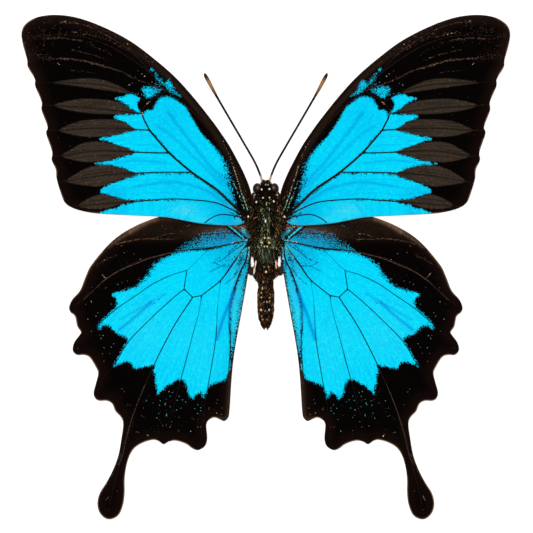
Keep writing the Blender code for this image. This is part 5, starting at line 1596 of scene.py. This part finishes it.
def eye_paint():
    """Dark brown, with painted shade towards the rim and a painted highlight near the top, finely faceted and softly
    shining.
    """
    paint = Paint("eye", roughness=0.38, specular=0.12)
    place = paint.place()
    across = paint.node("ShaderNodeSeparateXYZ", place)
    side = paint.math('SUBTRACT', paint.math('ABSOLUTE', across), EYE_CENTRE[0] - 0.2)
    forward = paint.node("ShaderNodeSeparateXYZ", place, out="Y")
    along = paint.math('SUBTRACT', forward, EYE_CENTRE[1] + SHIFT_Y + 0.3)
    far = paint.math('SQRT', paint.math('MULTIPLY_ADD', side, side, paint.times(along, along)))
    brown = paint.mix(paint.noise(place, 0.9), srgb(32, 18, 16), srgb(44, 28, 26))
    # Painted shade: darker towards the rim of the dome
    brown = paint.mix(paint.ramp(far, 0.55, 1.15), brown, srgb(14, 8, 7))
    # Painted highlight: a pale patch near the top of the eye
    paint.colour(paint.mix(paint.ramp(far, 0.55, 0.1, 0.0, 0.65), brown, srgb(118, 94, 86)))
    facets = paint.node("ShaderNodeTexVoronoi", place, None, 16.0, out="Distance")
    paint.bump(facets, 0.2, FACET_RELIEF)
    return paint.material


def limb(route, radii, step):
    """A smooth limb through the route with radii eased between its points, as (line, radii)."""
    joined = np.column_stack((np.array(route, float), radii))
    line = smooth_line(joined, step)
    return line[:, :3] + (0.0, SHIFT_Y, 0.0), line[:, 3]


def add_limb_hairs(pile, line, radii, per_mm, length, colour, lift):
    """Bristles all round a limb, leaning towards its end."""
    spans = np.linalg.norm(np.diff(line, axis=0), axis=1)
    count = int(per_mm * spans.sum())
    where = rng.uniform(0.0, 0.97, count) * (len(line) - 1)
    low = where.astype(int)
    share = (where - low)[:, None]
    centre = line[low] * (1 - share) + line[low + 1] * share
    radius = radii[low] * (1 - share[:, 0]) + radii[low + 1] * share[:, 0]
    along = unit(line[low + 1] - line[low])
    out = rng.normal(0, 1, (count, 3))
    out = unit(out - along * (out * along).sum(1)[:, None])
    roots = centre + out * radius[:, None] * 0.95
    keep = roots[:, 2] > LIMB_HAIR_FLOOR
    colours = hair_colours(count, colour, 0.35, 0.08, (140, 112, 82))
    ahead = along + lift * out
    lengths = length * rng.uniform(0.6, 1.2, count)
    pile.hairs(roots[keep], ahead[keep], lengths[keep], 0.06, colours[keep], 0.0)


SHAFT_COAT = 0.035          # of scales round the antenna's shaft


def add_antenna(side):
    """A ringed shaft, pale at its root, that swells into a tan club with a dark tip."""
    sides = 14
    line, radii = limb([(side * x, y, z) for (x, y, z), _ in ANTENNA_ROUTE], [r for _, r in ANTENNA_ROUTE], 0.1)
    count = len(line)
    ring = np.sin(np.arange(count) * math.pi / 2)
    club = soften(line[:, 1], 36.0, 38.0)
    radii = radii * (1 + 0.04 * ring * club) + SHAFT_COAT * (1 - club)
    points, faces = tube_round(line, radii, sides)
    y = line[:, 1]
    tint = blend((40, 22, 17), (soften(-y, -20.7, -19.8), (196, 168, 142)), (soften(y, 37.6, 38.6), (140, 98, 56)),
                 (soften(y, 38.6, 40.0), (186, 138, 84)), (soften(y, 40.6, 42.2), (56, 33, 20)))
    tint *= (1 - 0.12 * club * (1 - ring))[:, None]
    pile = Pile()
    pile.add(points, faces, np.repeat(screen(np.clip(tint, 0, BRIGHTEST)), sides, axis=0))
    return pile


def add_leg(route, side):
    """Jointed and bristly, with two claws."""
    points = [(side * x, y, z) for (x, y, z), _ in route]
    line, radii = limb(points, [radius for _, radius in route], 0.12)
    pinch = np.ones(len(line))
    for place in points[2:]:
        gap = np.linalg.norm(line - (place[0], place[1] + SHIFT_Y, place[2]), axis=1)
        pinch -= 0.2 * np.exp(-((gap - 0.18) / 0.12) ** 2)
    radii = radii * pinch
    tube, faces = tube_round(line, radii, 12)
    tube[:, 2] = np.maximum(tube[:, 2], 0.0)
    pile = Pile()
    pile.add(tube, faces, (38, 26, 20))
    add_limb_hairs(pile, line, radii, 110, 0.42, (80, 60, 48), 0.55)
    if points[0][1] < KNEE_TUFT_LIMIT:
        # A tuft that fills the bend of the hind knee
        count = 420
        knee = np.array(KNEE_TUFT) * (side, 1, 1)
        roots = knee + rng.normal(0, 1, (count, 3)) * (0.34, 0.2, 0.15)
        ahead = np.column_stack((rng.normal(0, 0.3, count), np.full(count, 1.0), rng.normal(0, 0.1, count)))
        pile.hairs(roots, ahead, rng.uniform(0.7, 1.5, count), 0.09,
                   hair_colours(count, (52, 37, 29), 0.4, 0.1, (112, 88, 74)), 0.0)
    end, ahead = line[-1], unit(line[-1] - line[-3])
    for turn in (-1, 1):
        sideways = np.cross(ahead, (0.0, 0.0, 1.0)) * turn
        reach = (0.0, 0.12, 0.24, 0.32)
        splay = (0.02, 0.09, 0.12, 0.08)
        claw = np.array([end + ahead * r + sideways * w for r, w in zip(reach, splay)])
        claw[:, 2] = np.maximum(claw[:, 2] - (0.0, 0.0, 0.03, 0.08), 0.07)
        tube, faces = tube_round(claw, np.array((0.05, 0.045, 0.03, 0.008)), 6)
        pile.add(tube, faces, (18, 12, 10))
    return pile


def add_mouthparts(fur, shell):
    for side, hand in ((1, "right"), (-1, "left")):
        pile = Pile()
        route = [(side * x, y, z) for x, y, z in PALP_ROUTE]
        line, radii = limb(route, PALP_RADII, 0.08)
        tube, faces = tube_round(line, radii, 14)
        pile.add(tube, faces, (40, 28, 21))
        add_limb_hairs(pile, line, radii, 240, 0.3, (58, 41, 31), 0.45)
        pile.piece(f"palp_{hand}_looks", fur, "body_fur", f"palp_{hand}")
    count = 150
    t = np.linspace(0, 1, count)
    angle = math.radians(100) - 2 * math.pi * PROBOSCIS_TURNS * t
    radius = PROBOSCIS_RADIUS * (1 - 0.62 * t)
    line = np.column_stack((0 * t, PROBOSCIS_CENTRE[1] + SHIFT_Y + radius * np.cos(angle),
                            PROBOSCIS_CENTRE[2] + radius * np.sin(angle)))
    radii = 0.15 * (1 - 0.35 * t) * (0.96 + 0.05 * np.sin(np.arange(count) * math.pi / 2))
    tube, faces = tube_round(line, radii, 12)
    pile = Pile()
    pile.add(tube, faces, (54, 36, 24))
    pile.piece("proboscis_looks", shell, "shell", "proboscis")


def add_body():
    fur = tinted_paint("body_fur", 0.7, 0.04, 0.12)
    shell = tinted_paint("shell", 0.6, 0.06, 0.2)
    leg_shell = tinted_paint("leg_shell", 0.55, 0.12, 0.35)
    add_thorax().piece("thorax_looks", fur, "body_fur", "thorax")
    add_abdomen().piece("abdomen_looks", fur, "body_fur", "abdomen")
    add_head().piece("head_looks", fur, "body_fur", "head")
    eye = eye_paint()
    add_mouthparts(fur, shell)
    for side, hand in ((1, "right"), (-1, "left")):
        centre = (side * EYE_CENTRE[0], EYE_CENTRE[1], EYE_CENTRE[2])
        points, faces = egg_mesh(centre, EYE_HALF, 56, 40)
        finished(mesh_object(f"eye_{hand}_looks", points, faces, [eye]), "eye", f"eye_{hand}")
        add_antenna(side).piece(f"antenna_{hand}_looks", shell, "shell", f"antenna_{hand}")
        for name, route in LEG_ROUTES.items():
            add_leg(route, side).piece(f"{name}_{hand}_looks", leg_shell, "leg_shell", f"{name}_{hand}")


def add_studio():
    """A plain pale floor, soft light from all round and a broad light from above."""
    scene = bpy.context.scene
    floor_mesh = bpy.data.meshes.new("floor")
    corners = [(x * FLOOR_REACH, y * FLOOR_REACH, 0) for x, y in ((-1, -1), (1, -1), (1, 1), (-1, 1))]
    floor_mesh.from_pydata(corners, [], [(0, 1, 2, 3)])
    floor = bpy.data.objects.new("floor", floor_mesh)
    scene.collection.objects.link(floor)
    paint = Paint("floor", roughness=1.0, specular=0.0)
    paint.colour(grey(FLOOR_GREY))
    paint.shader.inputs["Emission Color"].default_value = grey(1.0)
    paint.shader.inputs["Emission Strength"].default_value = FLOOR_GLOW
    floor_mesh.materials.append(paint.material)

    world = bpy.data.worlds.new("studio")
    world.use_nodes = True
    world.node_tree.nodes["Background"].inputs["Color"].default_value = grey(1.0)
    world.node_tree.nodes["Background"].inputs["Strength"].default_value = SKY_STRENGTH
    scene.world = world

    lamp_data = bpy.data.lights.new("window", 'AREA')
    lamp_data.shape = 'DISK'
    lamp_data.size = LAMP_SIZE
    lamp_data.energy = LAMP_POWER
    lamp = bpy.data.objects.new("window", lamp_data)
    lamp.location = LAMP_PLACE
    lamp.rotation_euler = (Vector((0, 0, 0)) - lamp.location).to_track_quat('-Z', 'Y').to_euler()
    scene.collection.objects.link(lamp)

    camera_data = bpy.data.cameras.new("camera")
    camera_data.type = 'PERSP'
    camera_data.lens = LENS
    camera_data.sensor_width = SENSOR
    camera_data.clip_start = 0.1
    camera_data.clip_end = 10
    camera = bpy.data.objects.new("camera", camera_data)
    distance = VIEW_WIDTH * LENS / SENSOR
    camera.location = (VIEW_CENTRE[0] * MM, (VIEW_CENTRE[1] + SHIFT_Y) * MM, (WING_LEVEL + distance) * MM)
    scene.collection.objects.link(camera)
    scene.camera = camera
    scene.view_settings.view_transform = 'Standard'


add_wings()
add_body()
add_studio()
